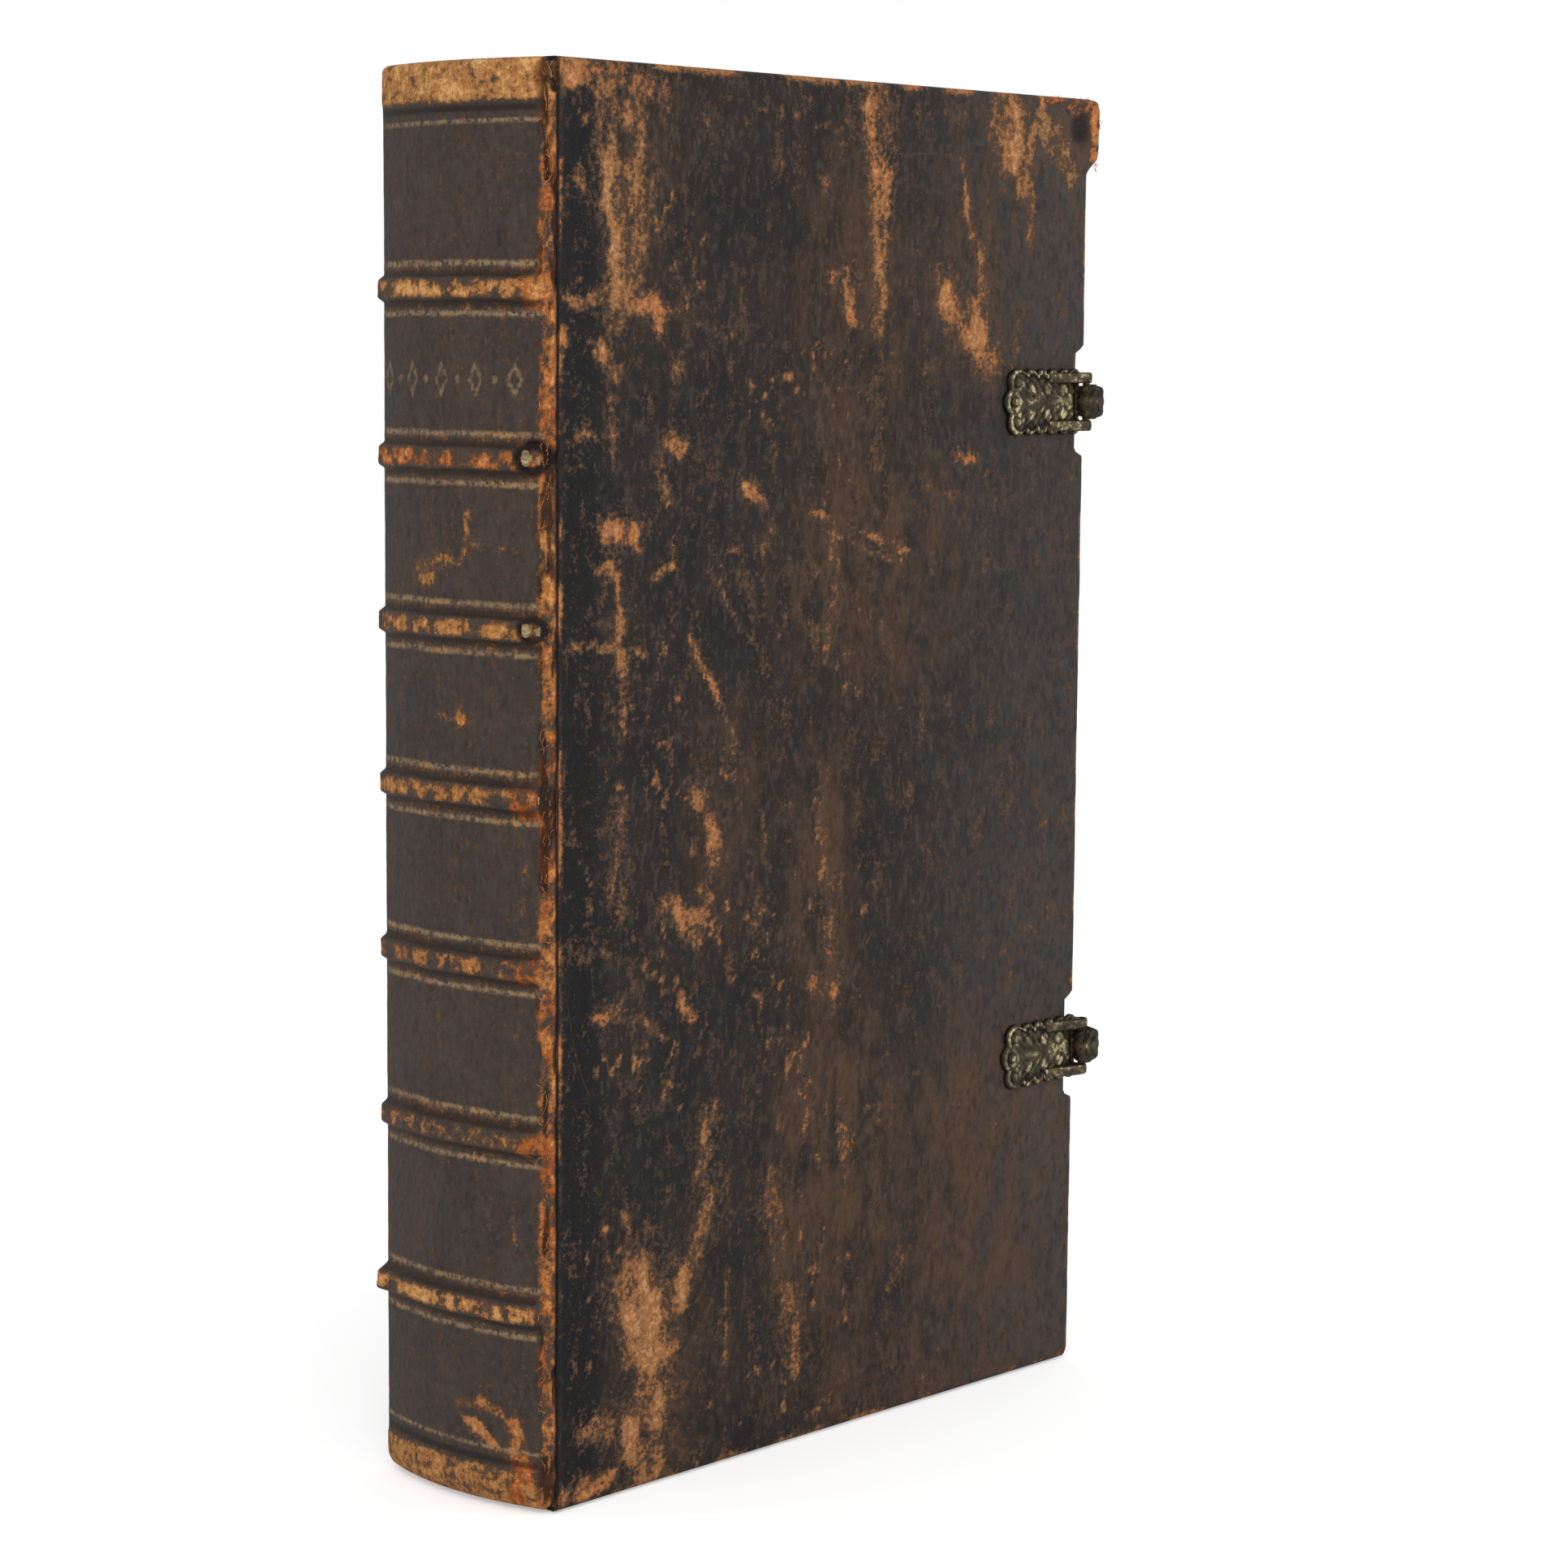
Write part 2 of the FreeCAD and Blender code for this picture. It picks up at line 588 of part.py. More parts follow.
def plate_outline():
    # Scalloped outline with three lobes at the inner end. Each share is (along the plate, up from
    # its middle, radius of the arc to the next corner as a share of the arc's chord).
    shares = [
        (0.0, 0.40, 0),
        (-0.06, 0.50, 0.9),
        (-0.30, 0.47, 0),
        (-0.36, 0.38, 1.2),
        (-0.60, 0.40, 0),
        (-0.67, 0.29, 0.75),
        (-0.83, 0.50, 0.62),
        (-0.92, 0.29, 0),
        (-0.90, 0.16, 0.55),
    ]
    spots = [(f"{along} * plate_length", f"{up} * plate_height") for along, up, _ in shares]
    spots += [(f"{along} * plate_length", f"-{up} * plate_height") for along, up, _ in reversed(shares)]
    curves = [curve for _, _, curve in shares]
    curves += curves[-2::-1] + [0]
    corners = []
    for index, (x, z) in enumerate(spots):
        if curves[index]:
            next_x, next_z = spots[index + 1]
            chord = f"sqrt((({next_x}) - ({x})) ^ 2 + (({next_z}) - ({z})) ^ 2)"
            corners.append((x, z, f"{curves[index]} * {chord}", -1))
        else:
            corners.append((x, z))
    return corners


def plate_body(name, side, lug_outlines, lug_circles, bore):
    # A cast plate with raised ribs, two lugs or ears, and a cross bore through them.
    body = doc.addObject("PartDesign::Body", name)
    pad(body, plane_sketch(body, f"{name}Outline", "XZ_Plane", out=f"{-side} * cover_face",
                           outlines=[plate_outline()]), "plate_thick", reverse=side > 0)
    rib = plane_sketch(body, f"{name}Rib", "XZ_Plane", out=f"{-side} * (cover_face + plate_thick)", outlines=[[
        ("-0.78 * plate_length", "0.05 * plate_height", "0.9 * plate_height", -1),
        ("-0.42 * plate_length", "0.05 * plate_height"),
        ("-0.42 * plate_length", "-0.05 * plate_height", "0.9 * plate_height", -1),
        ("-0.78 * plate_length", "-0.05 * plate_height"),
    ]])
    pad(body, rib, "rib_rise", reverse=side > 0)
    lug = pad(body, plane_sketch(body, f"{name}Lug", "XY_Plane", out="lug_low", outlines=lug_outlines), "lug_thick")
    parts = [lug]
    if lug_circles:
        ring = plane_sketch(body, f"{name}Ring", "XY_Plane", out="lug_low", circles=lug_circles)
        parts.append(pad(body, ring, "lug_thick"))
    mirror_up_down(body, parts)
    pocket_through(body, plane_sketch(body, f"{name}Bore", "XY_Plane", circles=[bore]))
    return body


def catch_plate(word):
    # Two ramped lugs carry the bar that the hook takes hold of.
    low = "-cover_face"
    return plate_body(f"{word}CatchPlate", -1, [[
        ("-lug_length", low),
        ("-lug_length", f"{low} - plate_thick - rib_rise"),
        ("bar_out - lug_height", f"{low} - lug_height"),
        ("bar_out", f"{low} - lug_height", "bar_radius + lug_cover", 1),
        ("lug_end", f"{low} - bar_height"),
        ("lug_end", f"{low} - clasp_gap"),
        ("0", low),
    ]], [], ("bar_out", f"{low} - bar_height", "bar_radius"))


def anchor_plate(word):
    # Two ears run past the board's edge and hold the hinge pin.
    return plate_body(f"{word}AnchorPlate", 1, [[
        ("-lug_length", "cover_face"),
        ("pin_x", "cover_face"),
        ("pin_x", "cover_face + plate_thick"),
        ("-0.3 * lug_length", "cover_face + plate_thick + rib_rise"),
        ("-lug_length", "cover_face + plate_thick + rib_rise"),
    ]], [("pin_x", "pin_y", "knuckle_radius")], ("pin_x", "pin_y", "pin_radius"))


def clasp_arm(word):
    # The arm crosses the fore-edge from its pin and hooks over the catch bar.
    body = doc.addObject("PartDesign::Body", f"{word}ClaspArm")
    inner = "-cover_face - hook_inner"
    outer = "-cover_face - hook_outer"
    lip = "-cover_face - lip_height"
    sketch = plane_sketch(body, f"{word}ArmSection", "XY_Plane", out="-arm_width / 2", outlines=[[
        ("arm_inner", "pin_y"),
        ("arm_inner", f"{inner} + arm_bend", "arm_bend", -1),
        ("arm_inner - arm_bend", inner),
        ("lip_outer", inner),
        ("lip_outer", lip),
        ("lip_inner", lip),
        ("lip_inner", outer),
        ("arm_reach - arm_round", outer, "arm_round", -1),
        ("arm_reach", f"{outer} + arm_round"),
        ("arm_reach", "pin_y"),
    ]])
    pad(body, sketch, "arm_width")
    knuckle = plane_sketch(body, f"{word}Knuckle", "XY_Plane", out="-arm_width / 2",
                           circles=[("pin_x", "pin_y", "knuckle_radius")])
    pad(body, knuckle, "arm_width")
    pocket_through(body, plane_sketch(body, f"{word}KnuckleBore", "XY_Plane",
                                      circles=[("pin_x", "pin_y", "knuckle_bore")]))
    return body


def rivet(name, side, x, z):
    # Shank through plate and leather into the board, with a low hammered head.
    outward = Vector(0, side, 0)
    shank = prism(f"{name}Shank", 6, "rivet_radius", "rivet_length + rivet_rise / 2", x,
                  f"{side} * rivet_root", z, outward)
    head = prism(f"{name}Head", 8, "rivet_head", "rivet_rise", x, f"{side} * (cover_face + plate_thick)", z,
                 outward)
    return combine("MultiFuse", name, [shank, head])


def rivet_group(word, kind, side):
    # Three rivets, one in each lobe of a plate.
    x = f"{word.lower()}_clasp_x"
    z = f"{word.lower()}_clasp_z"
    spots = [("lobe_end_x", "0"), ("lobe_x", "lobe_z"), ("lobe_x", "-lobe_z")]
    return [rivet(f"{word}{kind}Rivet{index}", side, f"{x} + {along}", f"{z} + {up}")
            for index, (along, up) in enumerate(spots)]


def riveted(word, kind, plate, rivets):
    # Keeps a plate, bored for its rivets, and the rivets themselves.
    name = word.lower()
    x = f"{name}_clasp_x"
    z = f"{name}_clasp_z"
    drills = [prism(f"{word}{kind}Drill{index}", 6, "rivet_radius", "4 * pin_y", along, "-2 * pin_y", up,
                    Vector(0, 1, 0))
              for index, (along, up) in enumerate([("lobe_end_x", "0"), ("lobe_x", "lobe_z"),
                                                   ("lobe_x", "-lobe_z")])]
    bored = cut(f"{word}{kind}Bored", plate, combine("MultiFuse", f"{word}{kind}Drills", drills))
    keep(bored, f"{name}_{kind.lower()}_plate", x, z)
    keep(combine("Compound", f"{word}{kind}Rivets", rivets), f"{name}_{kind.lower()}_rivets")


cords = [cord_ring(number) for number in range(1, 8)]
text_block()
spine_leather(cords)
for number, cord in enumerate(cords, start=1):
    keep(combine("Compound", f"BandCord{number}", [cord]), f"band_cord_{number}")
spine_linings()
endband("head_endband", "block_high + endband_radius")
endband("tail_endband", "block_low - endband_radius")

words = ("Upper", "Lower")
catch_rivets = {word: rivet_group(word, "Catch", -1) for word in words}
anchor_rivets = {word: rivet_group(word, "Anchor", 1) for word in words}
cover("Front", -1, [*catch_rivets["Upper"], *catch_rivets["Lower"]])
cover("Back", 1, [*anchor_rivets["Upper"], *anchor_rivets["Lower"]])

for word in words:
    name = word.lower()
    clasp_x = f"{name}_clasp_x"
    clasp_z = f"{name}_clasp_z"
    riveted(word, "Catch", catch_plate(word), catch_rivets[word])
    riveted(word, "Anchor", anchor_plate(word), anchor_rivets[word])
    keep(clasp_arm(word), f"{name}_clasp_arm", clasp_x, clasp_z)
    bar = cylinder(f"{word}Bar", "bar_radius", "lug_span", "bar_out", "-cover_face - bar_height", "-lug_span / 2")
    keep(combine("Compound", f"{word}CatchBar", [bar]), f"{name}_catch_bar", clasp_x, clasp_z)
    pin = cylinder(f"{word}Pin", "pin_radius", "lug_span", "pin_x", "pin_y", "-lug_span / 2")
    keep(combine("Compound", f"{word}ClaspPin", [pin]), f"{name}_clasp_pin", clasp_x, clasp_z)

doc.recompute()

for thing in doc.Objects:
    if "Invalid" in thing.State or "Error" in thing.State:
        raise RuntimeError(f"{thing.Name} did not compute")
os.makedirs("parts", exist_ok=True)
for node in nodes:
    if node.Shape.isNull() or not node.Shape.isValid():
        raise RuntimeError(f"{node.Label} has no valid shape")
    node.Shape.exportStep(f"parts/{node.Label}.step")
print(f"{len(nodes)} sub-parts written")
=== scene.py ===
import bpy
import math
import numpy as np
from mathutils import Matrix


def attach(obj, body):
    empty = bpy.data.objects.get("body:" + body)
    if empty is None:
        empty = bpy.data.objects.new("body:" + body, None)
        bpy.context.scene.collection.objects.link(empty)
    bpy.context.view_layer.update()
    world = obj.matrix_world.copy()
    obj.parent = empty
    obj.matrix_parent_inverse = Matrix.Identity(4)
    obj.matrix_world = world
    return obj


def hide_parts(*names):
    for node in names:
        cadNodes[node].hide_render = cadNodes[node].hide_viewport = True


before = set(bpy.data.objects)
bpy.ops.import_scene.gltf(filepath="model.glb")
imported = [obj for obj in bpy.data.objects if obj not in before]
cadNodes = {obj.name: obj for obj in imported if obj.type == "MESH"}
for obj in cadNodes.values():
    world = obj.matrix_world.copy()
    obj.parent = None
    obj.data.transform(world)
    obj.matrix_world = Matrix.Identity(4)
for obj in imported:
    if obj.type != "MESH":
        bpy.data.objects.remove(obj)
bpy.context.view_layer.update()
mm = 0.001


# Shared measures of the book, in millimetres
book = {
    "height": 360.0,
    "middleY": 1.35,          # the plane half way between the two covers
    "coverStartX": -101.0,
    "coverEndX": 103.85,
    "frontFace": -29.15,
    "backFace": 31.85,
    "coverThick": 8.0,
    "arcX": -23.89,           # centre of the rounded spine
    "arcRadius": 85.86,
    "blockRadius": 83.86,
    "bands": [51.0, 94.7, 137.8, 180.3, 221.6, 263.2, 304.6],
    "claspsZ": [276.0, 92.0],
    "plateEnds": [99.85, 102.85],
}


def smooth(value, low, high):
    t = np.clip((value - low) / (high - low), 0.0, 1.0)
    return t * t * (3.0 - 2.0 * t)


# Soft random field over a plane, one lattice for each seed
def field(u, v, size, seed, stretch=1.0):
    lattice = np.random.default_rng(seed).random((97, 97))
    a = np.asarray(u, float) / size + 31.7
    b = np.asarray(v, float) / (size * stretch) + 17.3
    i, j = np.floor(a).astype(int), np.floor(b).astype(int)
    fa, fb = a - i, b - j
    fa, fb = fa * fa * (3 - 2 * fa), fb * fb * (3 - 2 * fb)
    i0, i1, j0, j1 = i % 97, (i + 1) % 97, j % 97, (j + 1) % 97
    low = lattice[i0, j0] * (1 - fa) + lattice[i1, j0] * fa
    high = lattice[i0, j1] * (1 - fa) + lattice[i1, j1] * fa
    return low * (1 - fb) + high * fb


def layered(u, v, size, seed, stretch=1.0):
    return (0.55 * field(u, v, size, seed, stretch)
            + 0.30 * field(u, v, size * 0.43, seed + 1, stretch)
            + 0.15 * field(u, v, size * 0.19, seed + 2, stretch))


# Rubbed strokes: how worn each point is, and how rusty that wear looks
def rubbing(u, v, strokes, seed):
    worn = np.zeros_like(u)
    rusty = np.zeros_like(u)
    shiftU = (field(u, v, 8.0, seed) - 0.5) * 2.6 + (field(u, v, 2.7, seed + 1) - 0.5) * 1.8
    shiftV = (field(u, v, 8.0, seed + 5) - 0.5) * 3.0 + (field(u, v, 2.7, seed + 6) - 0.5) * 2.2
    ragged = smooth(layered(u, v, 3.6, seed + 9, 1.7), 0.22, 0.72)
    gaps = smooth(layered(u, v, 9.0, seed + 12, 1.5), 0.25, 0.6)
    for points, halfWidth, strength, rust in strokes:
        loose = 0.25 + 0.95 * min(1.0, halfWidth / 2.6)
        pu, pv = u + shiftU * loose, v + shiftV * loose
        spots = points if len(points) > 1 else [points[0], points[0]]
        nearest = np.full_like(u, 1e9)
        for (ax, az), (bx, bz) in zip(spots[:-1], spots[1:]):
            dx, dz = bx - ax, bz - az
            span = max(dx * dx + dz * dz, 1e-9)
            t = np.clip(((pu - ax) * dx + (pv - az) * dz) / span, 0, 1)
            nearest = np.minimum(nearest, np.hypot(pu - ax - t * dx, pv - az - t * dz))
        core = 1.04 * strength * (1.0 - smooth(nearest, halfWidth * 0.45, halfWidth * 1.6))
        core = core * (0.54 + 0.52 * ragged) * (0.70 + 0.34 * gaps)
        aura = 0.48 * strength * (1.0 - smooth(nearest, halfWidth, halfWidth * 2.6 + 1.0))
        value = np.maximum(core, aura * (0.35 + 0.65 * ragged))
        rusty = np.where(value > worn, rust, rusty)
        worn = np.maximum(worn, value)
    return np.clip(worn, 0, 1), rusty


def gridFaces(rows, cols):
    i, j = np.meshgrid(np.arange(rows - 1), np.arange(cols - 1), indexing="ij")
    a = i * cols + j
    return np.stack([a, a + 1, a + cols + 1, a + cols], -1).reshape(-1, 4)


def borderLoop(rows, cols):
    bottom = np.arange(cols - 1)
    right = np.arange(rows - 1) * cols + cols - 1
    top = (rows - 1) * cols + np.arange(cols - 1, 0, -1)
    left = np.arange(rows - 1, 0, -1) * cols
    return np.concatenate([bottom, right, top, left])


# Quads from a closed loop of points down to further rings of as many points
def addRings(points, faces, loop, rings):
    parts, quads, start, previous = [points], [faces], len(points), loop
    for ring in rings:
        current = np.arange(start, start + len(ring))
        a, b = previous, np.roll(previous, -1)
        c, d = np.roll(current, -1), current
        quads.append(np.stack([a, d, c, b], -1))
        parts.append(ring)
        start += len(ring)
        previous = current
    return np.concatenate(parts), np.concatenate(quads)


def makePiece(name, points, faces, body, material, values=None, flip=False, soften=True):
    mesh = bpy.data.meshes.new(name)
    listed = [list(map(int, f)) for f in faces]
    if flip:
        listed = [f[::-1] for f in listed]
    mesh.from_pydata((np.asarray(points) * mm).tolist(), [], listed)
    for word, numbers in (values or {}).items():
        layer = mesh.attributes.new(word, "FLOAT", "POINT")
        layer.data.foreach_set("value", np.asarray(numbers, np.float32))
    mesh.polygons.foreach_set("use_smooth", [soften] * len(mesh.polygons))
    mesh.materials.append(material)
    mesh.update()
    piece = bpy.data.objects.new(name, mesh)
    bpy.context.scene.collection.objects.link(piece)
    if body:
        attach(piece, body)
    return piece


# Several small solids collected into one piece
class Heap:
    def __init__(self):
        self.points, self.faces, self.count = [], [], 0

    def add(self, points, faces):
        self.points.append(np.asarray(points, float))
        self.faces += [[int(k) + self.count for k in f] for f in faces]
        self.count += len(points)

    def piece(self, name, body, slot, material, values=None, soften=True):
        return makePiece(name, np.concatenate(self.points), self.faces, body, material,
                         values, soften=soften)


# Quads round a row of closed rings, with a face over each end
def wrapFaces(rings, size, mirrored=False):
    faces = []
    for i in range(rings - 1):
        for j in range(size):
            near, far, k = i * size, (i + 1) * size, (j + 1) % size
            faces.append([near + j, near + k, far + k, far + j] if mirrored
                         else [near + j, far + j, far + k, near + k])
    first, last = list(range(size)), [(rings - 1) * size + j for j in range(size)]
    return faces + ([first[::-1], last] if mirrored else [first, last[::-1]])


# A tube of given radii along a path of points
def tube(path, radii, sides):
    path = np.asarray(path, float)
    ahead = np.gradient(path, axis=0)
    ahead /= np.linalg.norm(ahead, axis=1)[:, None]
    guide = np.array([0.31, 0.22, 0.92])
    side = np.cross(ahead, guide)
    side /= np.linalg.norm(side, axis=1)[:, None]
    rise = np.cross(side, ahead)
    turn = np.arange(sides) * 2 * math.pi / sides
    radii = np.asarray(radii, float).reshape(-1, 1, 1)
    ring = side[:, None] * np.cos(turn)[None, :, None] + rise[:, None] * np.sin(turn)[None, :, None]
    return (path[:, None] + ring * radii).reshape(-1, 3), wrapFaces(len(path), sides)


# Colours written as they look on screen, 0 to 255
def tint(red, green, blue):
    def straight(c):
        c = c / 255.0
        return c / 12.92 if c <= 0.04045 else ((c + 0.055) / 1.055) ** 2.4
    return (straight(red), straight(green), straight(blue), 1.0)


def newMaterial(name):
    material = bpy.data.materials.new(name)
    material.use_nodes = True
    tree = material.node_tree
    tree.nodes.clear()
    end = tree.nodes.new("ShaderNodeOutputMaterial")
    surface = tree.nodes.new("ShaderNodeBsdfPrincipled")
    tree.links.new(surface.outputs[0], end.inputs[0])
    return material, tree, surface


def feed(tree, socket, value):
    if isinstance(value, bpy.types.NodeSocket):
        tree.links.new(value, socket)
    else:
        socket.default_value = value


def place(tree, stretch=(1.0, 1.0, 1.0)):
    coords = tree.nodes.new("ShaderNodeTexCoord")
    mapping = tree.nodes.new("ShaderNodeMapping")
    mapping.inputs["Scale"].default_value = stretch
    tree.links.new(coords.outputs["Object"], mapping.inputs["Vector"])
    return mapping.outputs[0]


# Mottling whose patches are about size millimetres wide
def mottle(tree, where, size, detail=4.0, rough=0.55):
    node = tree.nodes.new("ShaderNodeTexNoise")
    tree.links.new(where, node.inputs["Vector"])
    node.inputs["Scale"].default_value = 1000.0 / size
    node.inputs["Detail"].default_value = detail
    node.inputs["Roughness"].default_value = rough
    return node.outputs[0]


def cells(tree, where, size):
    node = tree.nodes.new("ShaderNodeTexVoronoi")
    tree.links.new(where, node.inputs["Vector"])
    node.inputs["Scale"].default_value = 1000.0 / size
    return node.outputs["Distance"]


def combine(tree, kind, a, b=0.0, clamp=False):
    node = tree.nodes.new("ShaderNodeMath")
    node.operation = kind
    node.use_clamp = clamp
    feed(tree, node.inputs[0], a)
    feed(tree, node.inputs[1], b)
    return node.outputs[0]


def times(tree, a, b, clamp=False):
    return combine(tree, "MULTIPLY", a, b, clamp)


def plus(tree, a, b, clamp=False):
    return combine(tree, "ADD", a, b, clamp)


def between(tree, value, low, high, start=0.0, end=1.0):
    node = tree.nodes.new("ShaderNodeMapRange")
    node.interpolation_type = "SMOOTHSTEP"
    feed(tree, node.inputs["Value"], value)
    node.inputs["From Min"].default_value = low
    node.inputs["From Max"].default_value = high
    node.inputs["To Min"].default_value = start
    node.inputs["To Max"].default_value = end
    return node.outputs[0]


def blendColours(tree, share, a, b):
    node = tree.nodes.new("ShaderNodeMix")
    node.data_type = "RGBA"
    feed(tree, node.inputs[0], share)
    feed(tree, node.inputs[6], a)
    feed(tree, node.inputs[7], b)
    return node.outputs[2]


def painted(tree, word):
    node = tree.nodes.new("ShaderNodeAttribute")
    node.attribute_name = word
    return node.outputs["Fac"]


def roughen(tree, surface, height, depth):
    node = tree.nodes.new("ShaderNodeBump")
    node.inputs["Distance"].default_value = depth * mm
    node.inputs["Strength"].default_value = 1.0
    tree.links.new(height, node.inputs["Height"])
    tree.links.new(node.outputs[0], surface.inputs["Normal"])


# Old calf leather: dark skin, a brown halo where it is rubbed, tan or rust where the surface is gone,
# near-black painted shade beside the joint, and dark cracks with painted shade in creases and gaps
def oldLeather(name, looks):
    material, tree, surface = newMaterial(name)
    here = place(tree)
    streaked = place(tree, (1.0, 1.0, 0.16))
    wear, rust = painted(tree, "wear"), painted(tree, "rust")
    warm, joint_shade, faded = painted(tree, "warm"), painted(tree, "joint_shade"), painted(tree, "faded")
    broad = mottle(tree, here, 26.0, 3.0)
    middle = mottle(tree, here, 6.0, 5.0, 0.6)
    fine = mottle(tree, here, 1.6, 5.0, 0.7)
    dust = mottle(tree, here, 0.55, 3.0, 0.7)
    strands = mottle(tree, streaked, 3.4, 5.0, 0.65)
    base = blendColours(tree, between(tree, broad, 0.38, 0.66), looks["dark"], looks["brown"])
    base = blendColours(tree, between(tree, middle, 0.45, 0.75, 0.0, 0.7), base, looks["grey"])
    dulled = times(tree, faded, between(tree, middle, 0.2, 0.6, 0.6, 1.0))
    base = blendColours(tree, dulled, base, looks["faded"])
    clouds = mottle(tree, place(tree, (1.0, 1.0, 0.42)), 8.0, 6.0, 0.7)
    warmth = times(tree, warm, between(tree, clouds, 0.34, 0.64))
    base = blendColours(tree, warmth, base, looks["warm"])
    # near-black painted shade over the strip beside the joint
    joint_shading = times(tree, joint_shade, between(tree, middle, 0.25, 0.6, 0.78, 1.0))
    base = blendColours(tree, joint_shading, base, looks["joint_shade"])
    flecks = mottle(tree, place(tree, (1.0, 1.0, 0.55)), 1.5, 2.0, 0.5)
    sparse = times(tree, between(tree, broad, 0.3, 0.62, 0.55, 1.0),
                   between(tree, joint_shade, 0.0, 1.0, 1.0, 0.25))
    lighter = times(tree, between(tree, flecks, 0.50, 0.74, 0.0, looks["dust"]), sparse)
    base = blendColours(tree, lighter, base, looks["speck"])
    base = blendColours(tree, between(tree, flecks, 0.50, 0.28, 0.0, looks["dust"]), base, looks["crack_and_shade"])
    # the wear mask is torn up by three sizes of mottling
    torn = plus(tree, between(tree, fine, 0.32, 0.68, -0.28, 0.25),
                between(tree, dust, 0.3, 0.7, -0.13, 0.11))
    torn = plus(tree, torn, between(tree, strands, 0.32, 0.68, -0.09, 0.09))
    level = plus(tree, wear, torn)
    halo = between(tree, level, 0.22, 0.44, 0.0, 0.92)
    bare = between(tree, level, 0.42, 0.70)
    deep = between(tree, level, 0.88, 1.20)
    tan = blendColours(tree, between(tree, level, 0.48, 0.86), looks["tanDark"], looks["tan"])
    red = blendColours(tree, between(tree, level, 0.48, 0.86), looks["rustDark"], looks["rust"])
    rusty = times(tree, rust, between(tree, middle, 0.25, 0.6, 0.55, 1.15), True)
    tan = blendColours(tree, rusty, tan, red)
    pale = blendColours(tree, rusty, looks["pale"], looks["paleRust"])
    colour = blendColours(tree, halo, base, looks["halo"])
    colour = blendColours(tree, bare, colour, tan)
    colour = blendColours(tree, deep, colour, pale)
    # hair-thin scratches, here and there
    contour = mottle(tree, place(tree, (1.0, 1.0, 0.5)), 34.0, 1.0, 0.3)
    offLine = combine(tree, "ABSOLUTE", combine(tree, "SUBTRACT", contour, 0.5))
    hair = between(tree, offLine, 0.0, 0.0045, 0.55, 0.0)
    hair = times(tree, hair, between(tree, mottle(tree, here, 17.0, 2.0), 0.52, 0.60))
    colour = blendColours(tree, hair, colour, looks["halo"])
    tooled = times(tree, painted(tree, "tooled"), between(tree, fine, 0.36, 0.60), True)
    colour = blendColours(tree, tooled, colour, looks["tooled"])
    # real cracks darkened, plus painted shade in grooves, creases, gaps and hollows
    crack_and_shade = times(tree, painted(tree, "crack_and_shade"), between(tree, fine, 0.25, 0.5, 0.7, 1.0), True)
    colour = blendColours(tree, crack_and_shade, colour, looks["crack_and_shade"])
    tree.links.new(colour, surface.inputs["Base Color"])
    gloss = plus(tree, between(tree, fine, 0.3, 0.7, looks["gloss"], looks["gloss"] + 0.16),
                  times(tree, bare, 0.22), True)
    tree.links.new(gloss, surface.inputs["Roughness"])
    grain = cells(tree, here, 0.9)
    height = plus(tree, times(tree, grain, 0.35), times(tree, fine, 0.9))
    height = combine(tree, "SUBTRACT", height, times(tree, bare, 0.35))
    roughen(tree, surface, height, looks["grain"])
    surface.inputs["Specular IOR Level"].default_value = looks["shine"]
    return material


# the near-black colour beside the joint is painted shade; the darkest brown marks cracks and flecks and also
# paints shade in creases and gaps
coverLooks = {
    "dark": tint(24, 21, 20), "brown": tint(40, 32, 27), "grey": tint(49, 42, 37),
    "faded": tint(72, 65, 61), "warm": tint(90, 63, 43), "joint_shade": tint(11, 10, 12),
    "speck": tint(88, 73, 60), "dust": 0.50,         # dust: how strong the small flecks are
    "halo": tint(84, 62, 45), "tanDark": tint(110, 79, 53), "tan": tint(150, 108, 69),
    "rustDark": tint(132, 80, 46), "rust": tint(184, 112, 62), "pale": tint(196, 150, 104),
    "paleRust": tint(216, 142, 88), "tooled": tint(120, 106, 86), "crack_and_shade": tint(22, 17, 15),
    "gloss": 0.52, "grain": 0.22, "shine": 0.24,     # roughness, depth of grain in mm, specular level
}
# on the spine the darkest brown marks real cracks and also paints shade in grooves, gaps and the joint crease
spineLooks = dict(coverLooks, dark=tint(58, 51, 47), brown=tint(66, 56, 50), grey=tint(74, 67, 62),
                  warm=tint(90, 66, 48), halo=tint(92, 68, 50), speck=tint(86, 76, 69), dust=0.34,
                  tanDark=tint(134, 92, 52), tan=tint(184, 130, 74), rustDark=tint(112, 60, 30),
                  rust=tint(168, 88, 38), pale=tint(224, 176, 114), paleRust=tint(216, 130, 66),
                  tooled=tint(162, 134, 100), crack_and_shade=tint(30, 19, 13), gloss=0.54, grain=0.18, shine=0.26)
coverLeather = oldLeather("rubbed cover leather", coverLooks)
spineLeather = oldLeather("rubbed spine leather", spineLooks)


def plainMaterial(name, light, dark, stain, size, stretch=(1, 1, 1), gloss=0.8, depth=0.1, metal=0.0):
    material, tree, surface = newMaterial(name)
    here, along = place(tree), place(tree, stretch)
    coarse = mottle(tree, along, size, 5.0, 0.62)
    small = mottle(tree, along, size * 0.22, 4.0, 0.65)
    spots = mottle(tree, here, size * 1.7, 3.0)
    colour = blendColours(tree, between(tree, coarse, 0.32, 0.68), light, dark)
    colour = blendColours(tree, between(tree, spots, 0.56, 0.78, 0.0, 0.8), colour, stain)
    colour = blendColours(tree, between(tree, small, 0.52, 0.8, 0.0, 0.45), colour, dark)
    tree.links.new(colour, surface.inputs["Base Color"])
    tree.links.new(between(tree, small, 0.3, 0.7, gloss - 0.1, min(gloss + 0.1, 1.0)),
                   surface.inputs["Roughness"])
    surface.inputs["Metallic"].default_value = metal
    height = plus(tree, coarse, times(tree, small, 0.5))
    roughen(tree, surface, height, depth)
    return material


